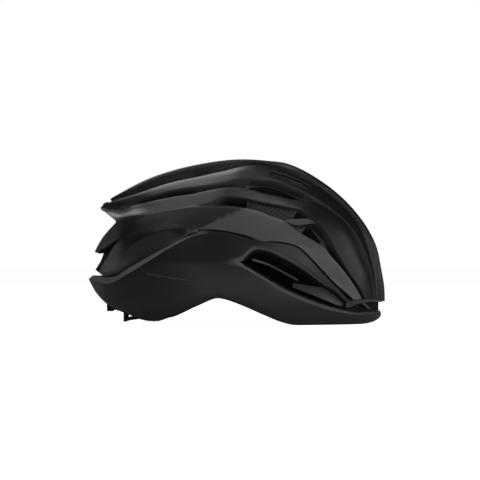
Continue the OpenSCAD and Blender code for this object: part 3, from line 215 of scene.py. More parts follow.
# Rows of the upper shell at any number of columns; t runs from 0 at the tail to 1 at the front
def fanPoints(curve, t):
    fan = np.array(upper["fan"], float)
    d = np.array(curve, float)[::-1] - fan
    polar = np.stack([np.degrees(np.arctan2(d[:, 1], d[:, 0])), np.hypot(d[:, 0], d[:, 1])], 1)
    angle = np.radians(mixed(polar[-1, 0], polar[0, 0], t))
    r = curveAt(polar, np.degrees(angle))
    return np.stack([fan[0] + r * np.cos(angle), fan[1] + r * np.sin(angle)], 1)


drawnT = np.linspace(0, 1, upper["columns"])


def envelopeRow(points, t):
    rough = points(drawnT)
    y = smoothed(halfWidth(rough[:, 0], rough[:, 1]))
    p = points(t)
    return np.stack([p[:, 0], curveAt(np.stack([drawnT, y], 1), t), p[:, 1]], 1)


def inward(points, depth):
    d = points - np.array(headSpace["centre"], float)
    d[..., 2] = np.maximum(0, d[..., 2])
    return points - d / lengthOf(d) * np.asarray(depth)[..., None]


def channelDepth(t, depth, start, full, fade, end, last):
    return depth * ramp(t, start, full) * mixed(1, last, ramp(t, fade, end))


# How far open a band is along the columns, 0 to 1
def openProfile(band, t):
    power, roundness = upper["slotEnds"]
    profile = np.zeros_like(t)
    for first, last in upper["openings"][band]:
        u = np.clip((t * (upper["columns"] - 1) - first) / (last - first), 0, 1)
        profile = np.maximum(profile, (1 - np.abs(2 * u - 1) ** power) ** roundness)
    return profile


def upperRows(t):
    def row(name):
        return envelopeRow(lambda s: fanPoints(upperCurves[name], s), t)

    def channel(a, b, band, kind):
        width, steeper = upper["channelWall"]
        wall = (width - steeper * openProfile(band, t))[:, None]
        return [inward(mixed(a, b, s), channelDepth(t, *upper[kind])) for s in (wall, 1 - wall)]

    def lowOnRibTwo(s):
        return mixed(*(fanPoints(upperCurves[name], s) for name in ("ribTwoMid", "ribTwoLow")), upper["edgeShare"])

    top, edge = (fanPoints(upperCurves[name], t) for name in ("crown", "spine"))
    crownRow = np.stack([top[:, 0], 0 * t, top[:, 1]], 1)
    spineY = mixed(upper["spineHalf"], halfWidth(edge[:, 0], edge[:, 1]), upper["spineShare"])
    spineRow = np.stack([edge[:, 0], spineY, edge[:, 1]], 1)
    twoTop, twoLow, threeTop, threeLow, sideTop = (
        row(name) for name in ("ribTwoTop", "ribTwoLow", "ribThreeTop", "ribThreeLow", "sideTop"))
    scoopDepth = upper["scoop"] * (1 - ramp(t, *upper["scoopFade"])) * upper["scoopTurn"]
    return [crownRow, spineRow, *channel(spineRow, twoTop, 2, "crownChannel"), twoTop, row("ribTwoMid"),
            envelopeRow(lowOnRibTwo, t), twoLow, *channel(twoLow, threeTop, 8, "upperChannel"), threeTop,
            row("ribThreeMid"), threeLow, *channel(threeLow, sideTop, 13, "sideChannel"), sideTop, row("sideMid"),
            row("finLow"), row("pillar"), row("crease"), inward(row("scoop"), scoopDepth)]


# Adds two rows in each band with openings, which run together where an opening ends
def tapered(rows, bands, t, openBands):
    made, labels = [rows[0]], []
    for i, band in enumerate(bands):
        if band in openBands:
            share, sink = upper["tapers"][band]
            profile = openProfile(band, t)
            gap = mixed(upper["leastGap"], share, profile)[:, None] / 2
            for s in (0.5 - gap, 0.5 + gap):
                made.append(inward(mixed(rows[i], rows[i + 1], s), sink * profile))
            labels += [(band, "edge"), (band, "gap"), (band, "edge")]
        else:
            labels.append((band, "whole"))
        made.append(rows[i + 1])
    return made, labels


def across(rows, labels, radii):
    return rows[:0:-1] + [row * [1, -1, 1] for row in rows], labels[::-1] + labels, radii[:0:-1] + radii


# Each inner row becomes a fillet of three rows with its radius; a radius of 0 keeps the row as it is
def refined(rows, labels, radii):
    mostShare = 0.46  # of the way to the next row
    grid, names = [rows[0]], []
    for i in range(1, len(rows) - 1):
        if radii[i] == 0:
            grid.append(rows[i])
            names.append(labels[i - 1])
            continue
        ways = (rows[i - 1] - rows[i], rows[i + 1] - rows[i])
        a, b = (d * np.minimum(radii[i] / lengthOf(d), mostShare) for d in ways)
        grid += [rows[i] + a * (1 - s) ** 2 + b * s**2 for s in (0, 0.5, 1)]
        names += [labels[i - 1]] * 2 + [labels[i]]
    return np.array(grid + [rows[-1]]), names + [labels[-1]]


def normalsOf(grid, wrap=False):
    down = np.gradient(grid, axis=0)
    along = (np.roll(grid, -1, 1) - np.roll(grid, 1, 1)) if wrap else np.gradient(grid, axis=1)
    n = np.cross(down, along)
    n /= lengthOf(n, 1e-9)
    for _ in range(3):
        ends = np.concatenate([n[:1], n, n[-1:]])
        n = ends[:-2] + ends[1:-1] + ends[2:]
        n /= lengthOf(n, 1e-9)
    return n


# The cells that stay; rangesOf gives the openings of a band, as first and last column
def keepOf(names, columns, rangesOf):
    keep = np.ones((len(names), len(columns)), bool)
    for i, (band, part) in enumerate(names):
        for first, last in rangesOf(band, part):
            keep[i] &= ~((columns > first) & (columns < last))
    return keep


# The head space
centre, half = (np.array(headSpace[key], float) for key in ("centre", "half"))


def onHead(points, more=0.0):
    d, h = points - centre, half + np.asarray(more)[..., None]
    low = d[..., 2:] < 0
    s = 1 / np.linalg.norm(np.where(low, [1, 1, 0], [1, 1, 1]) * d / h, axis=-1, keepdims=True)
    p = np.where(low, np.concatenate([centre[:2] + d[..., :2] * s, points[..., 2:]], -1), centre + d * s)
    p[..., 2] += (headSpace["archRise"] * np.maximum(0, 1 - (p[..., 1] / headSpace["archHalf"]) ** 4)
                  * ramp(-p[..., 0], *headSpace["archFront"]) * (1 - ramp(p[..., 2], *headSpace["archTop"])))
    return p


def wallY(x, z, d):
    h = half - d
    e = np.maximum(0, (np.asarray(z, float) - centre[2]) / h[2])
    return h[1] * np.sqrt(np.maximum(0, 1 - ((np.asarray(x, float) - centre[0]) / h[0]) ** 2 - e**2))


def wallPoint(x, z, d):
    return np.array([x, float(wallY(x, z, d)), z], float)


def wallNormal(p):
    d = p - centre
    n = np.stack([d[..., 0], d[..., 1], np.maximum(0, d[..., 2])], -1) / half**2
    return n / np.linalg.norm(n, axis=-1, keepdims=True)


# Making pieces
def mode(name):
    bpy.ops.object.mode_set(mode=name)


def deselect():
    if bpy.context.object and bpy.context.object.mode != "OBJECT":
        mode("OBJECT")
    bpy.ops.object.select_all(action="DESELECT")


def activate(obj):
    deselect()
    obj.select_set(True)
    bpy.context.view_layer.objects.active = obj


def smooth(obj, angle):
    activate(obj)
    bpy.ops.object.shade_smooth_by_angle(angle=math.radians(angle))


# A closed solid between two grids of points, without the cells that keep says are open
def thickPiece(name, outer, inner, keep=None, wrap=False, angle=38, tone=None):
    if wrap:
        outer, inner = (np.concatenate([g, g[:, :1]], 1) for g in (outer, inner))
    rows, columns = outer.shape[:2]
    deselect()
    bpy.ops.mesh.primitive_grid_add(x_subdivisions=columns - 1, y_subdivisions=rows - 1, size=1)
    obj = bpy.context.object
    obj.name = obj.data.name = name
    mesh = obj.data
    mesh.vertices.foreach_set("co", (outer.reshape(-1, 3) * mm).ravel())
    index = mesh.attributes.new("gridIndex", "INT", "POINT")  # where in the grid a vertex comes from
    index.data.foreach_set("value", np.arange(rows * columns, dtype=np.int32))
    mode("EDIT")
    bpy.ops.mesh.select_mode(type="FACE")
    bpy.ops.mesh.select_all(action="DESELECT")
    if keep is not None:
        mode("OBJECT")
        corners = np.empty(len(mesh.polygons) * 4, np.int32)
        mesh.polygons.foreach_get("vertices", corners)
        first = corners.reshape(-1, 4).min(1)
        mesh.polygons.foreach_set("select", ~keep[first // columns, first % columns])
        mode("EDIT")
        bpy.ops.mesh.delete(type="FACE")
    bpy.ops.mesh.select_mode(type="VERT")
    bpy.ops.mesh.select_all(action="SELECT")
    if wrap:
        bpy.ops.mesh.remove_doubles(threshold=1e-6)
        bpy.ops.mesh.select_all(action="SELECT")
    bpy.ops.mesh.extrude_region()
    mode("OBJECT")
    count = len(mesh.vertices)
    chosen, place, co = np.empty(count, bool), np.empty(count, np.int32), np.empty(count * 3)
    mesh.vertices.foreach_get("select", chosen)
    mesh.attributes["gridIndex"].data.foreach_get("value", place)
    mesh.vertices.foreach_get("co", co)
    co = co.reshape(-1, 3)
    co[chosen] = inner.reshape(-1, 3)[place[chosen]] * mm
    mesh.vertices.foreach_set("co", co.ravel())
    # Optional painted light and shade per vertex for the matte paint: above 0 painted highlight, below 0 painted shade
    if tone is not None:
        tone = np.concatenate([tone, tone[:, :1]], 1) if wrap else tone
        shades = mesh.attributes.new("tone", "FLOAT", "POINT")
        shades.data.foreach_set("value", tone.ravel()[place].astype(np.float32))
    mesh.attributes.remove(mesh.attributes["gridIndex"])
    mode("EDIT")
    bpy.ops.mesh.select_all(action="SELECT")
    bpy.ops.mesh.normals_make_consistent(inside=False)
    mode("OBJECT")
    smooth(obj, angle)
    return obj


def applied(obj, kind, **settings):
    activate(obj)
    modifier = obj.modifiers.new(kind.title(), kind)
    for key, value in settings.items():
        setattr(modifier, key, value)
    bpy.ops.object.modifier_apply(modifier=modifier.name)


# A copy of a CAD node's mesh with rounded edges
def softened(node, name, width):
    activate(frame["nodes"][node])
    bpy.ops.object.duplicate()
    obj = bpy.context.object
    obj.name = obj.data.name = name
    obj.parent = None
    obj.matrix_world.identity()
    mode("EDIT")
    bpy.ops.mesh.select_all(action="SELECT")
    bpy.ops.mesh.remove_doubles(threshold=2e-6)
    bpy.ops.mesh.dissolve_limited(angle_limit=math.radians(1))
    bpy.ops.mesh.normals_make_consistent(inside=False)
    mode("OBJECT")
    applied(obj, "BEVEL", width=width * mm, segments=2, limit_method="ANGLE", angle_limit=math.radians(30))
    smooth(obj, 40)
    return obj


def bodyOf(node):
    return next(name for name, empty in frame["bodies"].items() if empty == frame["nodes"][node].parent)


def dress(obj, slotName, *nodes, finish=None, ride=True):
    obj.data.materials.clear()
    obj.data.materials.append(finishes[finish or slotName])
    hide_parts(*nodes)
    if ride:
        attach(obj, bodyOf(nodes[0]))
    return obj


def handed(points, side):
    return points * [1, side, 1]


# Materials; a Value is a socket that can be used in sums
class Value:
    def __init__(self, maker, socket):
        self.maker, self.socket = maker, socket

    def calc(self, operation, *others):
        return self.maker.node("ShaderNodeMath", {"operation": operation}, dict(enumerate((self, *others)))).value()

    def __add__(self, other):
        return self.calc("ADD", other)

    def __sub__(self, other):
        return self.calc("SUBTRACT", other)

    def __mul__(self, other):
        return self.calc("MULTIPLY", other)

    def __truediv__(self, other):
        return self.calc("DIVIDE", other)

    def __rsub__(self, other):
        return (self * -1) + other


class Placed:
    def __init__(self, maker, made):
        self.maker, self.made = maker, made

    def value(self, name=0):
        return Value(self.maker, self.made.outputs[name])


# A material and the nodes that are added to it
class Finish:
    def __init__(self, name, colour, roughness, metallic=0.0, level=0.5, **more):
        self.material = bpy.data.materials.new(name)
        self.material.use_nodes = True
        self.tree = self.material.node_tree
        self.surface = self.tree.nodes["Principled BSDF"]
        self.set("Base Color", (*colour, 1))
        self.set("Roughness", roughness)
        self.set("Metallic", metallic)
        self.set("Specular IOR Level", level)
        for key, value in more.items():
            self.set(key.replace("_", " "), value)
        self.here = self.node("ShaderNodeTexCoord").value("Object")

    def put(self, socket, value):
        if isinstance(value, Value):
            self.tree.links.new(value.socket, socket)
        else:
            socket.default_value = value

    def set(self, name, value):
        self.put(self.surface.inputs[name], value)

    def node(self, kind, settings=None, values=None):
        made = self.tree.nodes.new(kind)
        for key, value in (settings or {}).items():
            setattr(made, key, value)
        for key, value in (values or {}).items():
            self.put(made.inputs[key], value)
        return Placed(self, made)

    def noise(self, size, detail=2.0):
        return self.node("ShaderNodeTexNoise", None, {"Vector": self.here, "Scale": 1 / size, "Detail": detail}).value()

    def cells(self, size):
        return self.node("ShaderNodeTexVoronoi", None, {"Vector": self.here, "Scale": 1 / size}).value("Distance")

    def parts(self, vector=None):
        made = self.node("ShaderNodeSeparateXYZ", None, {0: vector or self.here})
        return [made.value(i) for i in range(3)]

    def between(self, v, low, high, a=0.0, b=1.0):
        return self.node("ShaderNodeMapRange", {"clamp": True}, {0: v, 1: low, 2: high, 3: a, 4: b}).value()

    def mix(self, factor, a, b):
        a, b = (c if isinstance(c, Value) else (*c, 1) for c in (a, b))
        return self.node("ShaderNodeMix", {"data_type": "RGBA"}, {0: factor, 6: a, 7: b}).value(2)

    def bump(self, height, distance, strength=1.0):
        return self.node("ShaderNodeBump", None, {"Height": height, "Distance": distance, "Strength": strength}).value()


def mattePaint():
    f = Finish("mattePaint", (0.016, 0.0168, 0.0185), 0.42, level=0.5)
    paint = f.mix(f.noise(0.06, 3.0), (0.0108, 0.0118, 0.0142), (0.0134, 0.0146, 0.0172))
    # Painted light and shade from a vertex attribute: above 0 the colour mixes towards pale grey as a painted
    # highlight, below 0 towards near black as a painted shade
    tone = f.node("ShaderNodeAttribute", {"attribute_name": "tone"}).value("Fac")  # below 0 darker, above 0 lighter
    lighter = f.mix(tone, paint, (0.2, 0.206, 0.222))
    f.set("Base Color", f.mix(tone * -1, lighter, (0.004, 0.0043, 0.005)))
    f.set("Roughness", f.between(f.noise(0.018, 4.0), 0.3, 0.7, 0.38, 0.45))
    f.set("Normal", f.bump(f.noise(0.0009, 2.0), 0.00004, 0.5))
    return f.material


def foamBead():
    f = Finish("foamBead", (0.012, 0.0125, 0.013), 0.8, level=0.2)
    bead = f.cells(0.0034)
    f.set("Base Color", f.mix(f.between(bead, 0.25, 0.62), (0.0145, 0.015, 0.0158), (0.007, 0.0072, 0.0075)))
    f.set("Normal", f.bump(1 - bead * bead, 0.0005, 0.7))
    return f.material


def carbonWeave():
    f = Finish("carbonWeave", (0.02, 0.02, 0.021), 0.4, level=0.35, Coat_Weight=0.25, Coat_Roughness=0.2)
    x, y, z = f.parts()
    tow = 0.0012
    u, v = x / tow, (z - y.calc("ABSOLUTE") * 0.5) / tow
    i, j = u.calc("FLOOR"), v.calc("FLOOR")
    twill = (i - j).calc("FLOORED_MODULO", 4.0).calc("LESS_THAN", 1.5)
    acrossU, acrossV = (((c.calc("FRACT") - 0.5) * 2).calc("ABSOLUTE") for c in (u, v))
    ridge = 1 - (acrossU * acrossU * twill + acrossV * acrossV * (1 - twill))
    fibre = f.noise(0.0003, 1.0)
    f.set("Base Color", f.mix(twill * 0.8 + fibre * 0.2, (0.0010, 0.0011, 0.0012), (0.05, 0.051, 0.052)))
    f.set("Roughness", f.between(twill, 0.0, 1.0, 0.28, 0.42))
    f.set("Normal", f.bump(ridge, 0.0003, 0.8))
    return f.material


def padKnit():
    f = Finish("padKnit", (0.012, 0.012, 0.013), 0.9, level=0.15, Sheen_Weight=0.25, Sheen_Roughness=0.4)
    f.set("Base Color", f.mix(f.noise(0.004, 4.0), (0.009, 0.009, 0.0098), (0.02, 0.02, 0.0215)))
    f.set("Normal", f.bump(1 - f.cells(0.0011), 0.00025, 0.9))
    return f.material


def insectNet():
    f = Finish("insectNet", (0.0025, 0.0025, 0.0027), 0.95, level=0.1)
    mesh = f.cells(0.0012)
    f.set("Base Color", f.mix(mesh, (0.0045, 0.0045, 0.0048), (0.0015, 0.0015, 0.0016)))
    f.set("Normal", f.bump(mesh, 0.0003, 0.9))
    return f.material


def webbingWeave():
    f = Finish("webbingWeave", (0.014, 0.014, 0.015), 0.78, level=0.2)
    u, v, _ = f.parts(f.node("ShaderNodeTexCoord").value("UV"))
    rib = (u * 95 + v.calc("PINGPONG", 0.125) * 8).calc("FRACT").calc("PINGPONG", 0.5)
    strand = (v * 16).calc("FRACT").calc("PINGPONG", 0.5)
    f.set("Base Color", f.mix(rib * 2, (0.008, 0.008, 0.009), (0.021, 0.021, 0.0225)))
    f.set("Normal", f.bump(rib + strand, 0.00035, 0.9))
    return f.material


def moulded(name, colour, roughness, grain=0.0005, depth=0.00003):
    f = Finish(name, colour, roughness, level=0.35)
    darker, lighter = (tuple(c * share for c in colour) for share in (0.88, 1.12))
    f.set("Base Color", f.mix(f.noise(0.02, 3.0), darker, lighter))
    f.set("Roughness", f.between(f.noise(0.006, 3.0), 0.3, 0.7, roughness - 0.05, roughness + 0.05))
    f.set("Normal", f.bump(f.noise(grain, 2.0), depth, 0.6))
    return f.material


def brushedSteel():
    f = Finish("brushedSteel", (0.45, 0.455, 0.47), 0.32, metallic=1.0)
    f.set("Roughness", f.between(f.noise(0.0012, 4.0), 0.3, 0.7, 0.26, 0.4))
    f.set("Normal", f.bump(f.noise(0.0004, 2.0), 0.00001, 0.5))
    return f.material


finishes = {
    "shell_matte": mattePaint(), "net": insectNet(), "foam": foamBead(), "carbon": carbonWeave(), "pad": padKnit(),
    "webbing": webbingWeave(), "steel": brushedSteel(),
    "plastic": moulded("mouldedPlastic", (0.018, 0.0185, 0.02), 0.5),
    "nylon": moulded("mouldedNylon", (0.03, 0.031, 0.033), 0.55),
    "buckle": moulded("bucklePlastic", (0.014, 0.014, 0.015), 0.4),
    "dial_rubber": moulded("rubberGrip", (0.02, 0.0205, 0.022), 0.72, 0.0003, 0.00005),
}
print("materials ready")

# The upper skin
cells = upper["cells"]
t = np.linspace(0, 1, (upper["columns"] - 1) * cells + 1)
cellColumns = (t[:-1] + t[1:]) / 2 * (upper["columns"] - 1)


# The crown has a flat top and steep sides down to the spine row
def upperSurface(rows, bands, radii, openBands):
    made, labels = tapered(rows, bands, t, openBands)
    spread = []
    for radius, band in zip(radii, bands):
        spread += [radius, 0, 0] if band in openBands else [radius]
    spread.append(radii[-1])
    ridge = np.stack([rows[0][:, 0], rows[1][:, 1] * upper["ridgeShare"], rows[0][:, 2]], 1)
    made.insert(1, inward(ridge, upper["ridgeDrop"]))
    labels.insert(0, (0, "whole"))
    spread.insert(1, upper["ridgeRadius"])
    return refined(*across(made, labels, spread))


def keepUpper(names, cutAway):
    tables = {"gap": upper["openings"], "whole": cutAway, "edge": {}}
    return keepOf(names, cellColumns, lambda band, part: tables[part].get(band, []))


skinRows = upperRows(t)
skinGrid, skinNames = upperSurface(skinRows, list(range(20)), upper["radii"], upper["openings"])
skinNormals = normalsOf(skinGrid)

# Painted light and shade in the paint colour, standing in for how light falls on the facets: first and last band, how
# strong, and between which x it comes or goes
upperPaintedShading = {
    "slant": {"band": 15, "direction": (0.41, 0.912), "edge": (-97.5, -95.5), "tone": 0.42},
    "light": [(10, 14, 0.45, (-24, -8)), (4, 4, 0.5, (-30, 20)), (15, 19, 0.3, (-116, -106)),
              (18, 19, 0.5, (-114, -106))],
    "dull": [(-1, 14, 0.6, (0, 30), (200, 210)), (16, 19, 0.7, (-105, -90), (-45, -15))],
}
bandOf = np.array([-1] + [band for band, _ in skinNames])[:, None]
along, height = skinGrid[..., 0], skinGrid[..., 2]
# Painted highlight on the slanted facet of the side and on lit bands towards the tail
slant = upperPaintedShading["slant"]
slanted = slant["direction"][0] * along - slant["direction"][1] * height
light = np.where(bandOf >= slant["band"], slant["tone"] * ramp(slanted, *slant["edge"]), 0)
for first, last, tone, goes in upperPaintedShading["light"]:
    light = np.maximum(light, np.where((bandOf >= first) & (bandOf <= last), tone * (1 - ramp(along, *goes)), 0))
# Painted shade over the front and on the low side just above the lower shell's lip
dull = np.zeros_like(light)
for first, last, tone, comes, goes in upperPaintedShading["dull"]:
    part = tone * ramp(along, *comes) * (1 - ramp(along, *goes))
    dull = np.maximum(dull, np.where((bandOf >= first) & (bandOf <= last), part, 0))

# Painted highlight where it is set, painted shade elsewhere
upperSkin = thickPiece("upperSkin", skinGrid, skinGrid - skinNormals * upper["skin"],
                       keepUpper(skinNames, upper["cutAway"]), tone=np.where(light > 0, light, -dull))
dress(upperSkin, "shell_matte", "upper_shell")
print("upper skin", len(upperSkin.data.polygons))

# The lower skin, a ring from the tail round to the front and back
lower = {
    "cells": 26, "steps": 5, "spread": 0.955,  # cells from tail to front, each cut in steps
    "openings": {0: [(20, 26)], 1: [(20, 26)], 2: [(13, 26)]},
    "skin": 1.6, "rimTurn": 6,
    "lipTurn": 4.5, "lipFade": (-50, -25),
    "bevel": 3.0, "bevelFrom": (12.4, 13.2), "bevelTo": (21, 24),
    "beside": (0.6, 4.4), "besideFrom": (11.8, 13.2),  # least, and how much more further on
    "radii": [1, 0.9, 1, 0.8, 0.8, 1, 30, 2.2, 1],
    # Painted highlight on the vent bevel and painted shade on the body: how strong, and where each comes or goes
    "ventPaintedHighlight": 0.35, "ventPaintedHighlightFrom": (12.0, 12.8), "bodyPaintedShade": 0.6, "bodyPaintedShadeTo": (20, 60),
}
ringJ = np.linspace(0, lower["cells"], lower["cells"] * lower["steps"] + 1)
ringT = (1 - np.cos(np.pi * (ringJ / lower["cells"]) ** lower["spread"])) / 2
ringMiddles = (ringJ[:-1] + ringJ[1:]) / 2


def ringRow(name):
    c = np.array(lowerCurves[name], float)
    x = mixed(c[0, 0], c[-1, 0], ringT)
    z = np.maximum(0, curveAt(c, x))
    end = np.where((x < 0)[:, None], c[0], c[-1])
    toEnd, endShare = np.abs(x / end[:, 0]), envelopeShare(end[:, 0], end[:, 1])
    closing = 1 + np.minimum(1, toEnd) ** 6 * (1 / endShare**2 - 1)  # brings both halves together at the ends
    y = envelope["width"] / 2 * np.sqrt(np.maximum(0, 1 - envelopeShare(x, z) ** 2 * closing))
    y[0] = y[-1] = 0
    return np.stack([x, y, z], 1)


def around(grid):
    return np.concatenate([grid * [1, -1, 1], grid[:, -2:0:-1]], 1)


def keepRing(names, openings):
    keep = keepOf(names, ringMiddles, lambda band, part: openings.get(band, []) if part != "edge" else [])
    return np.concatenate([keep, keep[:, ::-1]], 1)


# A row next to row a, on the way to row b
def beside(a, b, most):
    least, more = lower["beside"]
    away = least + more * ramp(ringJ, *lower["besideFrom"])
    return mixed(a, b, np.minimum(most, away[:, None] / lengthOf(b - a)))


def levelIn(row, depth):
    level = row * [1, 1, 0]
    return row - level / lengthOf(level) * depth[:, None]


lipRow, lipLow, ventTop, ventLow, bodyMid, rimRow = (
    ringRow(name) for name in ("lip", "lipLow", "ventTop", "ventLow", "bodyMid", "rim"))
lipTurn = lower["lipTurn"] * (1 - ramp(lipRow[:, 0], *lower["lipFade"]))
bevel = lower["bevel"] * ramp(ringJ, *lower["bevelFrom"]) * (1 - ramp(ringJ, *lower["bevelTo"]))
lowRows = [levelIn(lipRow, lipTurn), lipLow, beside(ventTop, lipLow, 0.6), inward(ventTop, bevel),
           inward(ventLow, bevel), beside(ventLow, bodyMid, 0.5), bodyMid, rimRow, inward(rimRow, lower["rimTurn"])]
lowLabels = [(0, "whole"), (1, "edge"), (1, "whole"), (2, "whole"), (3, "edge"), (3, "whole"), (4, "whole"),
             (5, "whole")]
lowGrid, lowNames = refined(lowRows, lowLabels, lower["radii"])
lowBands = [(-1, "whole")] + lowNames


def onRows(chosen):
    return np.array([chosen(band, part) for band, part in lowBands])[:, None]


# Painted highlight on the rear lip and the vent bevel, painted shade on the lower body fading out towards the front
lipPaintedHighlight = onRows(lambda band, part: band <= 0) * (1 - ramp(lipLow[:, 0], *lower["lipFade"]))
ventPaintedHighlight = onRows(lambda band, part: (band, part) in ((1, "whole"), (2, "whole"), (3, "edge"))) * (
    lower["ventPaintedHighlight"] * ramp(ringJ, *lower["ventPaintedHighlightFrom"]))
bodyPaintedShade = onRows(lambda band, part: band >= 3) * (
    lower["bodyPaintedShade"] * (1 - ramp(lipLow[:, 0], *lower["bodyPaintedShadeTo"])))
lowPaintedShading = np.maximum(lipPaintedHighlight, ventPaintedHighlight)
lowPaintedShading = np.where(lowPaintedShading > 0, lowPaintedShading, -bodyPaintedShade)
lowPaintedShading = np.concatenate([lowPaintedShading, lowPaintedShading[:, -2:0:-1]], 1)
lowGrid = around(lowGrid)
lowerSkin = thickPiece("lowerSkin", lowGrid, lowGrid - normalsOf(lowGrid, True) * lower["skin"],
                       keepRing(lowNames, lower["openings"]), wrap=True, tone=lowPaintedShading)
dress(lowerSkin, "shell_matte", "lower_shell")
print("lower skin", len(lowerSkin.data.polygons))

# The foam under both skins
crownLiner = {
    "inset": 2.7, "rows": [0, 2, 3, 5, 8, 9, 11, 13, 14, 16, 17, 18, 20],  # rows of the skin that the foam follows
    "bands": [0, 2, 3, 4, 8, 9, 10, 13, 14, 15, 17, 18], "radii": [30, 4, 4, 2, 3, 3, 3, 3, 3, 30, 2, 2, 1],
    "openBands": (2, 8, 13, 17), "grooveRows": 6,
}
linerRows = [inward(skinRows[i], crownLiner["inset"]) for i in crownLiner["rows"]]
crownGrid, crownNames = upperSurface(linerRows, crownLiner["bands"], crownLiner["radii"], crownLiner["openBands"])
grooves = np.zeros(crownGrid.shape[:2])
middle = len(crownGrid) // 2
grooves[middle - crownLiner["grooveRows"]:middle + crownLiner["grooveRows"] + 1] = headSpace["groove"]
crownFoam = thickPiece("crownFoam", crownGrid, onHead(crownGrid, grooves), keepUpper(crownNames, {}))
dress(crownFoam, "foam", "front_crown_liner", "rear_crown_liner")

rimLiner = {
    "inset": 1.8, "topInset": 2.3, "scoopFade": (-75, -40), "rimLift": 3.2, "radii": [1, 3, 3, 30, 1],
    "openings": {0: [(23, 26)], 1: [(13, 20), (23, 26)]},
}
topRow = ringRow("foamTop")
topDepth = mixed(upper["scoop"], 0, ramp(topRow[:, 0], *rimLiner["scoopFade"])) + rimLiner["topInset"]
foamRows = [inward(topRow, rimLiner["inset"] + topDepth)]
foamRows += [inward(row, rimLiner["inset"]) for row in (ventTop, ventLow, bodyMid, rimRow)]
foamRows[-1] = foamRows[-1] + [0, 0, rimLiner["rimLift"]]
rimGrid, rimNames = refined(foamRows, [(band, "whole") for band in range(4)], rimLiner["radii"])
rimGrid = around(rimGrid)
rimFoam = thickPiece("rimFoam", rimGrid, onHead(rimGrid), keepRing(rimNames, rimLiner["openings"]), wrap=True)
dress(rimFoam, "foam", "rim_liner")


# Strips on both sides, each lightened by a painted highlight of its own strength; each edge is a line of [x, z] and how
# deep it lies under the outline
def addStrips(strips, thick=2.2, columns=40):
    for name, strip in strips.items():
        edges = []
        for line, depth in strip["edges"]:
            x = np.linspace(line[0][0], line[-1][0], columns)
            z = curveAt(line, x)
            edges.append(np.stack([x, halfWidth(x, z) - depth, z], 1))
        outer = np.array([mixed(*edges, s) for s in (0, 0.33, 0.67, 1)])
        for left, side in sides:
            piece = thickPiece(left + name, handed(outer, side), handed(outer - [0, thick, 0], side),
                               tone=np.full(outer.shape[:2], strip["tone"]))
            dress(piece, strip.get("slot", "shell_matte"), strip["node"])


# The rib and ledge of the side vent, lightened by a painted highlight
addStrips({
    "VentRib": {"node": "lower_shell", "tone": 0.15, "edges": [
        ([[15.4, 62.4], [31.7, 56.9], [50.9, 46.7], [57.6, 43.1]], 6.0),
        ([[15.4, 60.6], [31.7, 55.0], [50.9, 44.8], [57.6, 41.2]], 5.2)]},
    "VentLedge": {"node": "lower_shell", "tone": 0.15, "edges": [
        ([[53, 39.4], [68, 37], [82.6, 34.6], [96, 29.5], [110, 21.5]], 8.5),
        ([[53, 35.5], [66, 30.4], [75.5, 26.6], [90, 20.5], [104, 15.3]], 4.4)]},
})

# Nets across the side vents, in the foam between two of its rows
ventNet = {"cells": (13, 23), "rows": 9, "from": 0.42, "to": 0.46}  # from skin side to head side
netPart = slice(ventNet["cells"][0] * lower["steps"], ventNet["cells"][1] * lower["steps"] + 1)
netOuter = np.array([mixed(foamRows[1], foamRows[2], s) for s in np.linspace(0.0, 1.0, ventNet["rows"])])[:, netPart]
netInner = onHead(netOuter)
for left, side in sides:
    net = thickPiece(left + "VentNet", handed(mixed(netOuter, netInner, ventNet["from"]), side),
                     handed(mixed(netOuter, netInner, ventNet["to"]), side))
    dress(net, "pad", left + "_vent_net", finish="net")
print("foam ready")

# The carbon cage under the skin
cageShape = {"columns": (10, 16), "lastBand": 15, "closedBands": (5, 13), "depth": (1.75, 2.6)}
cageSpan = slice(*(column * cells for column in cageShape["columns"]))
cageRows = [i for i, (band, _) in enumerate(skinNames) if band <= cageShape["lastBand"]]
low, high = cageRows[0], cageRows[-1] + 1
cageKeep = keepUpper(skinNames, {})[low:high, cageSpan]
for i, (band, _) in enumerate(skinNames[low:high]):
    if band in cageShape["closedBands"]:
        cageKeep[i] = True
cageSides = [(skinGrid - skinNormals * depth)[low:high + 1, cageSpan.start:cageSpan.stop + 1]
             for depth in cageShape["depth"]]
dress(thickPiece("carbonCage", *cageSides, cageKeep), "carbon", "carbon_cage")

# The carbon that shows in the side channel
carbonPanel = {"columns": (10.2, 14.5), "rows": (12, 15), "depth": (3.0, 6.5), "overlap": 0.04, "thick": 0.9}
panelSpan = slice(int(carbonPanel["columns"][0] * cells), int(carbonPanel["columns"][1] * cells) + 1)
panelEdges = [skinRows[i][panelSpan] for i in carbonPanel["rows"]]
panelOuter = np.array([inward(mixed(*panelEdges, s), mixed(*carbonPanel["depth"], s))
                       for s in np.linspace(-carbonPanel["overlap"], 1.0, 7)])
for name, side in (("carbonPanel", 1), ("carbonPanelRight", -1)):
    panel = thickPiece(name, handed(panelOuter, side), handed(inward(panelOuter, carbonPanel["thick"]), side))
    dress(panel, "carbon", "carbon_cage")

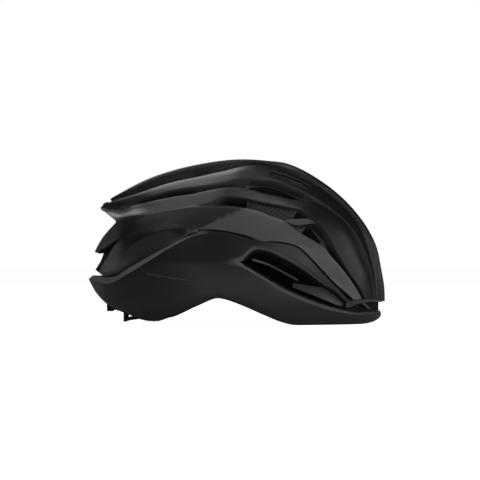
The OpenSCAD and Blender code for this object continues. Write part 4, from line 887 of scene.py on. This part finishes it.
# The strut across the side channel, the lip, posts and core of the brow opening, and a crease on the side; all but the
# foam core are lightened by a painted highlight, and the crease strip is a thin pale line standing for the highlight
# along the crease
addStrips({
    "ChannelStrut": {"node": "upper_shell", "tone": 0.3, "edges": [
        ([[46, 98.4], [59.5, 99.4], [73.4, 99.8], [78, 97.5]], 2.6),
        ([[46, 97.4], [55.2, 93.6], [71.4, 94.8], [78, 95.5]], 1.6)]},
    "BrowLip": {"node": "upper_shell", "tone": 0.2, "edges": [
        ([[103, 20.6], [109, 22.4], [122, 23.6], [133.4, 23.0], [139.5, 21.6]], 0.4),
        ([[103, 15.8], [109, 17.0], [117, 20.0], [128, 20.8], [139.5, 20.2]], 1.8)]},
    "BrowPost": {"node": "lower_shell", "tone": 0.25, "edges": [
        ([[117, 21.4], [125.5, 14.0]], 1.6), ([[120, 21.4], [128.5, 14.0]], 2.4)]},
    "SideCreaseHighlight": {"node": "lower_shell", "tone": 0.3, "edges": [
        ([[-84.5, 48.8], [-58.2, 44.6], [-37.3, 41.0]], -0.35),
        ([[-84.5, 48.0], [-58.2, 43.7], [-37.3, 40.4]], -0.1)]},
    "BrowCore": {"node": "rim_liner", "tone": 0, "slot": "foam", "edges": [
        ([[104, 22.5], [136, 21.5]], 11), ([[104, 13.2], [136, 12.6]], 11)]},
})

# Rounded copies of the moulded and metal pieces: the slot and the radius of the edges
hardware = {
    "rear_bridge": ("foam", 0.8), "brow_struts": ("foam", 0.6), "left_temple_anchor": ("plastic", 0.3),
    "right_temple_anchor": ("plastic", 0.3), "left_band": ("plastic", 0.3), "right_band": ("plastic", 0.3),
    "rear_cradle": ("plastic", 0.4), "gear_cover": ("plastic", 0.4), "cover_screws": ("steel", 0.2),
    "left_rack": ("nylon", 0.15), "right_rack": ("nylon", 0.15), "pinion": ("nylon", 0.15),
    "click_ring": ("steel", 0.1), "fit_dial": ("dial_rubber", 0.35), "dial_screw": ("steel", 0.2),
    "height_hanger": ("plastic", 0.25), "hanger_guide": ("plastic", 0.25), "front_strap_anchors": ("plastic", 0.25),
    "rear_strap_anchors": ("plastic", 0.25), "left_divider": ("buckle", 0.3), "right_divider": ("buckle", 0.3),
    "left_cam": ("buckle", 0.25), "right_cam": ("buckle", 0.25), "buckle_socket": ("buckle", 0.5),
    "buckle_plug": ("buckle", 0.4), "strap_keeper": ("plastic", 0.3),
}
for node, (slotName, radius) in hardware.items():
    first, *rest = node.split("_")
    dress(softened(node, first + "".join(word.title() for word in rest), radius), slotName, node)
print("hardware ready")


# Pads, by azimuth and height or by x and y
def onWall(azimuth, z, d):
    h = half - d[..., None]
    f = np.sqrt(np.maximum(0, 1 - (np.maximum(0, z - centre[2]) / h[..., 2]) ** 2))
    a = np.radians(azimuth)
    return np.stack([centre[0] + h[..., 0] * f * np.cos(a), h[..., 1] * f * np.sin(a), z], -1)


def onRoof(x, y, d):
    h = half - d[..., None]
    z = centre[2] + h[..., 2] * np.sqrt(1 - ((x - centre[0]) / h[..., 0]) ** 2 - (y / h[..., 1]) ** 2)
    return np.stack([x, y, z], -1)


# Swells a closed pad with the cloth solver, as the foam inside does, then smooths it once; cap is the most it moves
def plump(obj, cap, voxel=1.5, pressure=4.0, frames=20):
    applied(obj, "REMESH", mode="VOXEL", voxel_size=voxel * mm)
    applied(obj, "SMOOTH", factor=0.5, iterations=6)
    before = np.empty(len(obj.data.vertices) * 3)
    obj.data.vertices.foreach_get("co", before)
    cloth = obj.modifiers.new("Cloth", "CLOTH")
    cloth.settings.use_pressure = True
    cloth.settings.uniform_pressure_force = pressure
    cloth.settings.effector_weights.gravity = 0
    cloth.point_cache.frame_start, cloth.point_cache.frame_end = 1, frames
    for number in range(1, frames + 1):
        bpy.context.scene.frame_set(number)
    shaped = obj.evaluated_get(bpy.context.evaluated_depsgraph_get())
    after = np.empty_like(before)
    shaped.data.vertices.foreach_get("co", after)
    obj.modifiers.remove(cloth)
    bpy.context.scene.frame_set(1)
    move = (after - before).reshape(-1, 3)
    move *= np.minimum(1, cap * mm / lengthOf(move, 1e-9))
    obj.data.vertices.foreach_set("co", (before.reshape(-1, 3) + move).ravel())
    applied(obj, "SUBSURF", levels=1, render_levels=1)
    activate(obj)
    bpy.ops.object.shade_smooth()


# Presses seams into a pad where distances, given the points, is near zero
def channelled(obj, distances, width=1.3, depth=0.9):
    vertices = obj.data.vertices
    co, normal = np.empty(len(vertices) * 3), np.empty(len(vertices) * 3)
    vertices.foreach_get("co", co)
    vertices.foreach_get("normal", normal)
    d = distances(co.reshape(-1, 3) / mm)
    co -= (normal.reshape(-1, 3) * (depth * mm * np.exp(-(d / width) ** 2))[:, None]).ravel()
    vertices.foreach_set("co", co)


# place gives a point for two shares and a depth; the pad lies at seat and is highest in the middle
def pad(name, node, place, count, seams, cap=0.9, seat=0.9, top=5.6, edge=0.3):
    v, u = np.meshgrid(np.linspace(0, 1, count[1]), np.linspace(0, 1, count[0]))
    crowned = edge + (1 - edge) * np.sqrt((1 - np.abs(2 * u - 1) ** 3) * (1 - np.abs(2 * v - 1) ** 3))
    obj = thickPiece(name, place(u, v, seat + 0 * u), place(u, v, seat + (top - seat) * crowned))
    plump(obj, cap)
    channelled(obj, seams)
    dress(obj, "pad", node)


def noSeams(points):
    return 5 + 0 * points[:, 0]


def browSeams(points):
    azimuth = np.degrees(np.arctan2(points[:, 1] / half[1], (points[:, 0] - centre[0]) / half[0]))
    return np.min([np.abs(azimuth - a) for a in browPad["seams"]], 0) * 1.5


def crownSeams(points):
    return np.min([np.abs(points[:, 1] - y) for y in crownPads["seams"]], 0)


browPad = {"azimuth": (-47, 47), "z": (29.4, 6.6), "count": (12, 60), "seams": (-32, -16, 0, 16, 32)}
pad("browPad", "brow_pad", lambda u, v, d: onWall(mixed(*browPad["azimuth"], v), mixed(*browPad["z"], u), d),
    browPad["count"], browSeams)

crownPads = {"frontX": (28.6, 63.4), "rearX": (-65.4, -32.6), "y": (32.4, -32.4), "count": (34, 20),
             "seams": (-16, 0, 16)}
for end in ("front", "rear"):
    pad(end + "CrownPad", end + "_crown_pad",
        lambda u, v, d, span=crownPads[end + "X"]: onRoof(mixed(*span, v), mixed(*crownPads["y"], u), d),
        crownPads["count"], crownSeams)

sidePads = {"azimuth": (81, 105), "z": (60.4, 45.6), "count": (10, 22), "seam": -6}
for left, side in sides:
    pad(left + "SidePad", left + "_side_pad",
        lambda u, v, d, s=side: handed(onWall(mixed(*sidePads["azimuth"], v), mixed(*sidePads["z"], u), d), s),
        sidePads["count"], lambda points: np.abs(points[:, 0] - sidePads["seam"]))

# On the cradle's round inside, of the given radius about an upright axis
napePads = {"axisX": -41.5, "radius": 63.6, "angle": (2.4, 10.6), "z": (11.6, 3.4), "count": (10, 14),
            "seat": 0.1, "top": 1.7, "cap": 0.1}


def napePlace(u, v, d, side):
    a = np.radians(180 - mixed(*napePads["angle"], v))
    r = napePads["radius"] - d
    return np.stack([napePads["axisX"] + r * np.cos(a), side * r * np.sin(a), mixed(*napePads["z"], u)], -1)


for left, side in sides:
    pad(left + "NapePad", left + "_nape_pad", lambda u, v, d, s=side: napePlace(u, v, d, s), napePads["count"], noSeams,
        cap=napePads["cap"], seat=napePads["seat"], top=napePads["top"])
print("pads ready")

# Webbing, by the places [x, z] that each strap passes
webbing = {
    "width": 15, "thick": 1.4, "inset": 3.4, "alongCount": 90, "acrossCount": 9, "edge": 0.45,
    "front": [(41, 53), (34, 57.5), (26, 63.5), (18, 70), (12.7, 73), (7.7, 73)],
    "rear": [(-17.7, 73), (-22.7, 73), (-32, 69.5), (-44, 63), (-54, 57.5), (-63, 53.5)],
    "leftEnd": 22, "rightEnd": 12,  # where the chin strap ends at the buckle
}
divider = {"x": -5, "z": 76, "height": 18}
slope = math.atan2((divider["z"] - centre[2]) / half[2] ** 2, wallY(divider["x"], divider["z"], 0) / half[1] ** 2)


def strap(name, node, points, side, ride=True):
    p = np.array(points, float)
    keys = np.concatenate([[0], np.cumsum(np.linalg.norm(np.diff(p, axis=0), axis=1))])
    s = np.linspace(0, keys[-1], webbing["alongCount"])
    line = np.stack([curveAt(np.stack([keys, p[:, i]], 1), s) for i in range(3)], 1)
    normal = wallNormal(line)
    along = np.gradient(line, axis=0)
    along /= np.linalg.norm(along, axis=1, keepdims=True)
    across = np.cross(normal, along)
    across /= np.linalg.norm(across, axis=1, keepdims=True)
    w = np.linspace(1, -1, webbing["acrossCount"])[:, None, None]
    thick = webbing["thick"] / 2 * np.where(np.abs(w) == 1, webbing["edge"], 1.0)
    faces = [handed(line + across * w * webbing["width"] / 2 + normal * d * thick, side) for d in (1, -1)]
    return dress(thickPiece(name, *faces, angle=60), "webbing", node, ride=ride)


for left, side in sides:
    for end in ("front", "rear"):
        strap(left + end.title() + "Strap", f"{left}_{end}_strap",
              [wallPoint(x, z, webbing["inset"]) for x, z in webbing[end]], side)


def chinPoints(end):
    lift = np.array([0, -math.sin(slope), math.cos(slope)]) * (divider["height"] / 2 + 0.8)
    start = wallPoint(divider["x"], divider["z"], webbing["inset"]) + lift
    return ([start] + [wallPoint(divider["x"], z, webbing["inset"] + 0.4) for z in (91, 97, 102.5, 107)]
            + [[divider["x"], 30, 109.4], [divider["x"], end + 4, 109.9], [divider["x"], end + 0.3, 110]])


strap("leftChinStrap", "left_chin_strap", chinPoints(webbing["leftEnd"]), 1)
rightChin = strap("rightChinStrap", "right_chin_strap", chinPoints(webbing["rightEnd"]), -1, ride=False)
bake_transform(rightChin)

chinPad = {"z": (91.4, 104.6), "x": (10.6, -10.6), "inset": 4.8, "count": (14, 12), "cap": 0.3, "seat": 0.1, "top": 2.4}


def chinPlace(u, v, d):
    z = mixed(*chinPad["z"], v)
    h = half - (chinPad["inset"] + d)[..., None]
    y = h[..., 1] * np.sqrt(1 - ((divider["x"] - centre[0]) / h[..., 0]) ** 2 - ((z - centre[2]) / h[..., 2]) ** 2)
    return np.stack([divider["x"] + mixed(*chinPad["x"], u), y, z], -1)


pad("chinPad", "chin_pad", chinPlace, chinPad["count"], noSeams, cap=chinPad["cap"], seat=chinPad["seat"],
    top=chinPad["top"])
print("straps ready")

# Stage, light and camera
stage = {"floorSize": 12, "floorGlow": 0.97, "skyLight": 0.01, "target": (0, 0, 0.08)}
lamps = {
    "topLamp": {"at": (0, 0, 1.6), "size": (1.2, 0.9), "power": 2.0},
    "backLamp": {"at": (-0.4, 0.9, 1.3), "size": (0.5, 0.5), "power": 3.8},
    "highFrontLamp": {"at": (0.4, -0.5, 1.3), "size": (0.4, 0.4), "power": 2.4},
    "highRearLamp": {"at": (-0.7, -0.6, 1.2), "size": (0.4, 0.4), "power": 1.3},
    "sideLamp": {"at": (0.9, -1.2, 0.5), "size": (0.5, 0.5), "power": 2.8},
    "frontLamp": {"at": (1.5, -0.3, 0.4), "size": (0.6, 0.7), "power": 2.6},
    "lowLamp": {"at": (0.1, -1.1, 0.03), "size": (1.6, 0.2), "power": 2.2},
}
photoCamera = {"at": (0.00384, -3.0, 0.0795), "sensor": 36, "lens": 234.4}

# The floor is white for the camera and a plain surface for other rays, so the shadow stays
bpy.ops.mesh.primitive_plane_add(size=stage["floorSize"], location=(0, 0, 0))
floor = bpy.context.object
floor.name = "floor"
pale = Finish("paleFloor", (0.8, 0.8, 0.8), 0.9, level=0.1)
pale.set("Emission Color", (1, 1, 1, 1))
cameraRay = pale.node("ShaderNodeLightPath").value("Is Camera Ray")
pale.set("Emission Strength", pale.between(cameraRay, 0, 1, 0.0, stage["floorGlow"]))
floor.data.materials.append(pale.material)

world = bpy.data.worlds.new("studio")
bpy.context.scene.world = world
world.use_nodes = True
tree = world.node_tree
background = tree.nodes["Background"]
path = tree.nodes.new("ShaderNodeLightPath")
sky = tree.nodes.new("ShaderNodeMapRange")
tree.links.new(path.outputs["Is Camera Ray"], sky.inputs[0])
sky.inputs[3].default_value, sky.inputs[4].default_value = stage["skyLight"], 1.0
tree.links.new(sky.outputs[0], background.inputs["Strength"])
background.inputs["Color"].default_value = (1, 1, 1, 1)

for name, lamp in lamps.items():
    bpy.ops.object.light_add(type="AREA", location=lamp["at"])
    light = bpy.context.object
    light.name = name
    light.data.shape = "RECTANGLE"
    light.data.size, light.data.size_y = lamp["size"]
    light.data.energy = lamp["power"]
    light.rotation_euler = (Vector(stage["target"]) - Vector(lamp["at"])).to_track_quat("-Z", "Y").to_euler()

bpy.ops.object.camera_add(location=photoCamera["at"], rotation=(math.pi / 2, 0, 0))
camera = bpy.context.object
camera.name = "photoCamera"
camera.data.sensor_width = photoCamera["sensor"]
camera.data.lens = photoCamera["lens"]
bpy.context.scene.camera = camera
bpy.context.scene.view_settings.view_transform = "Standard"
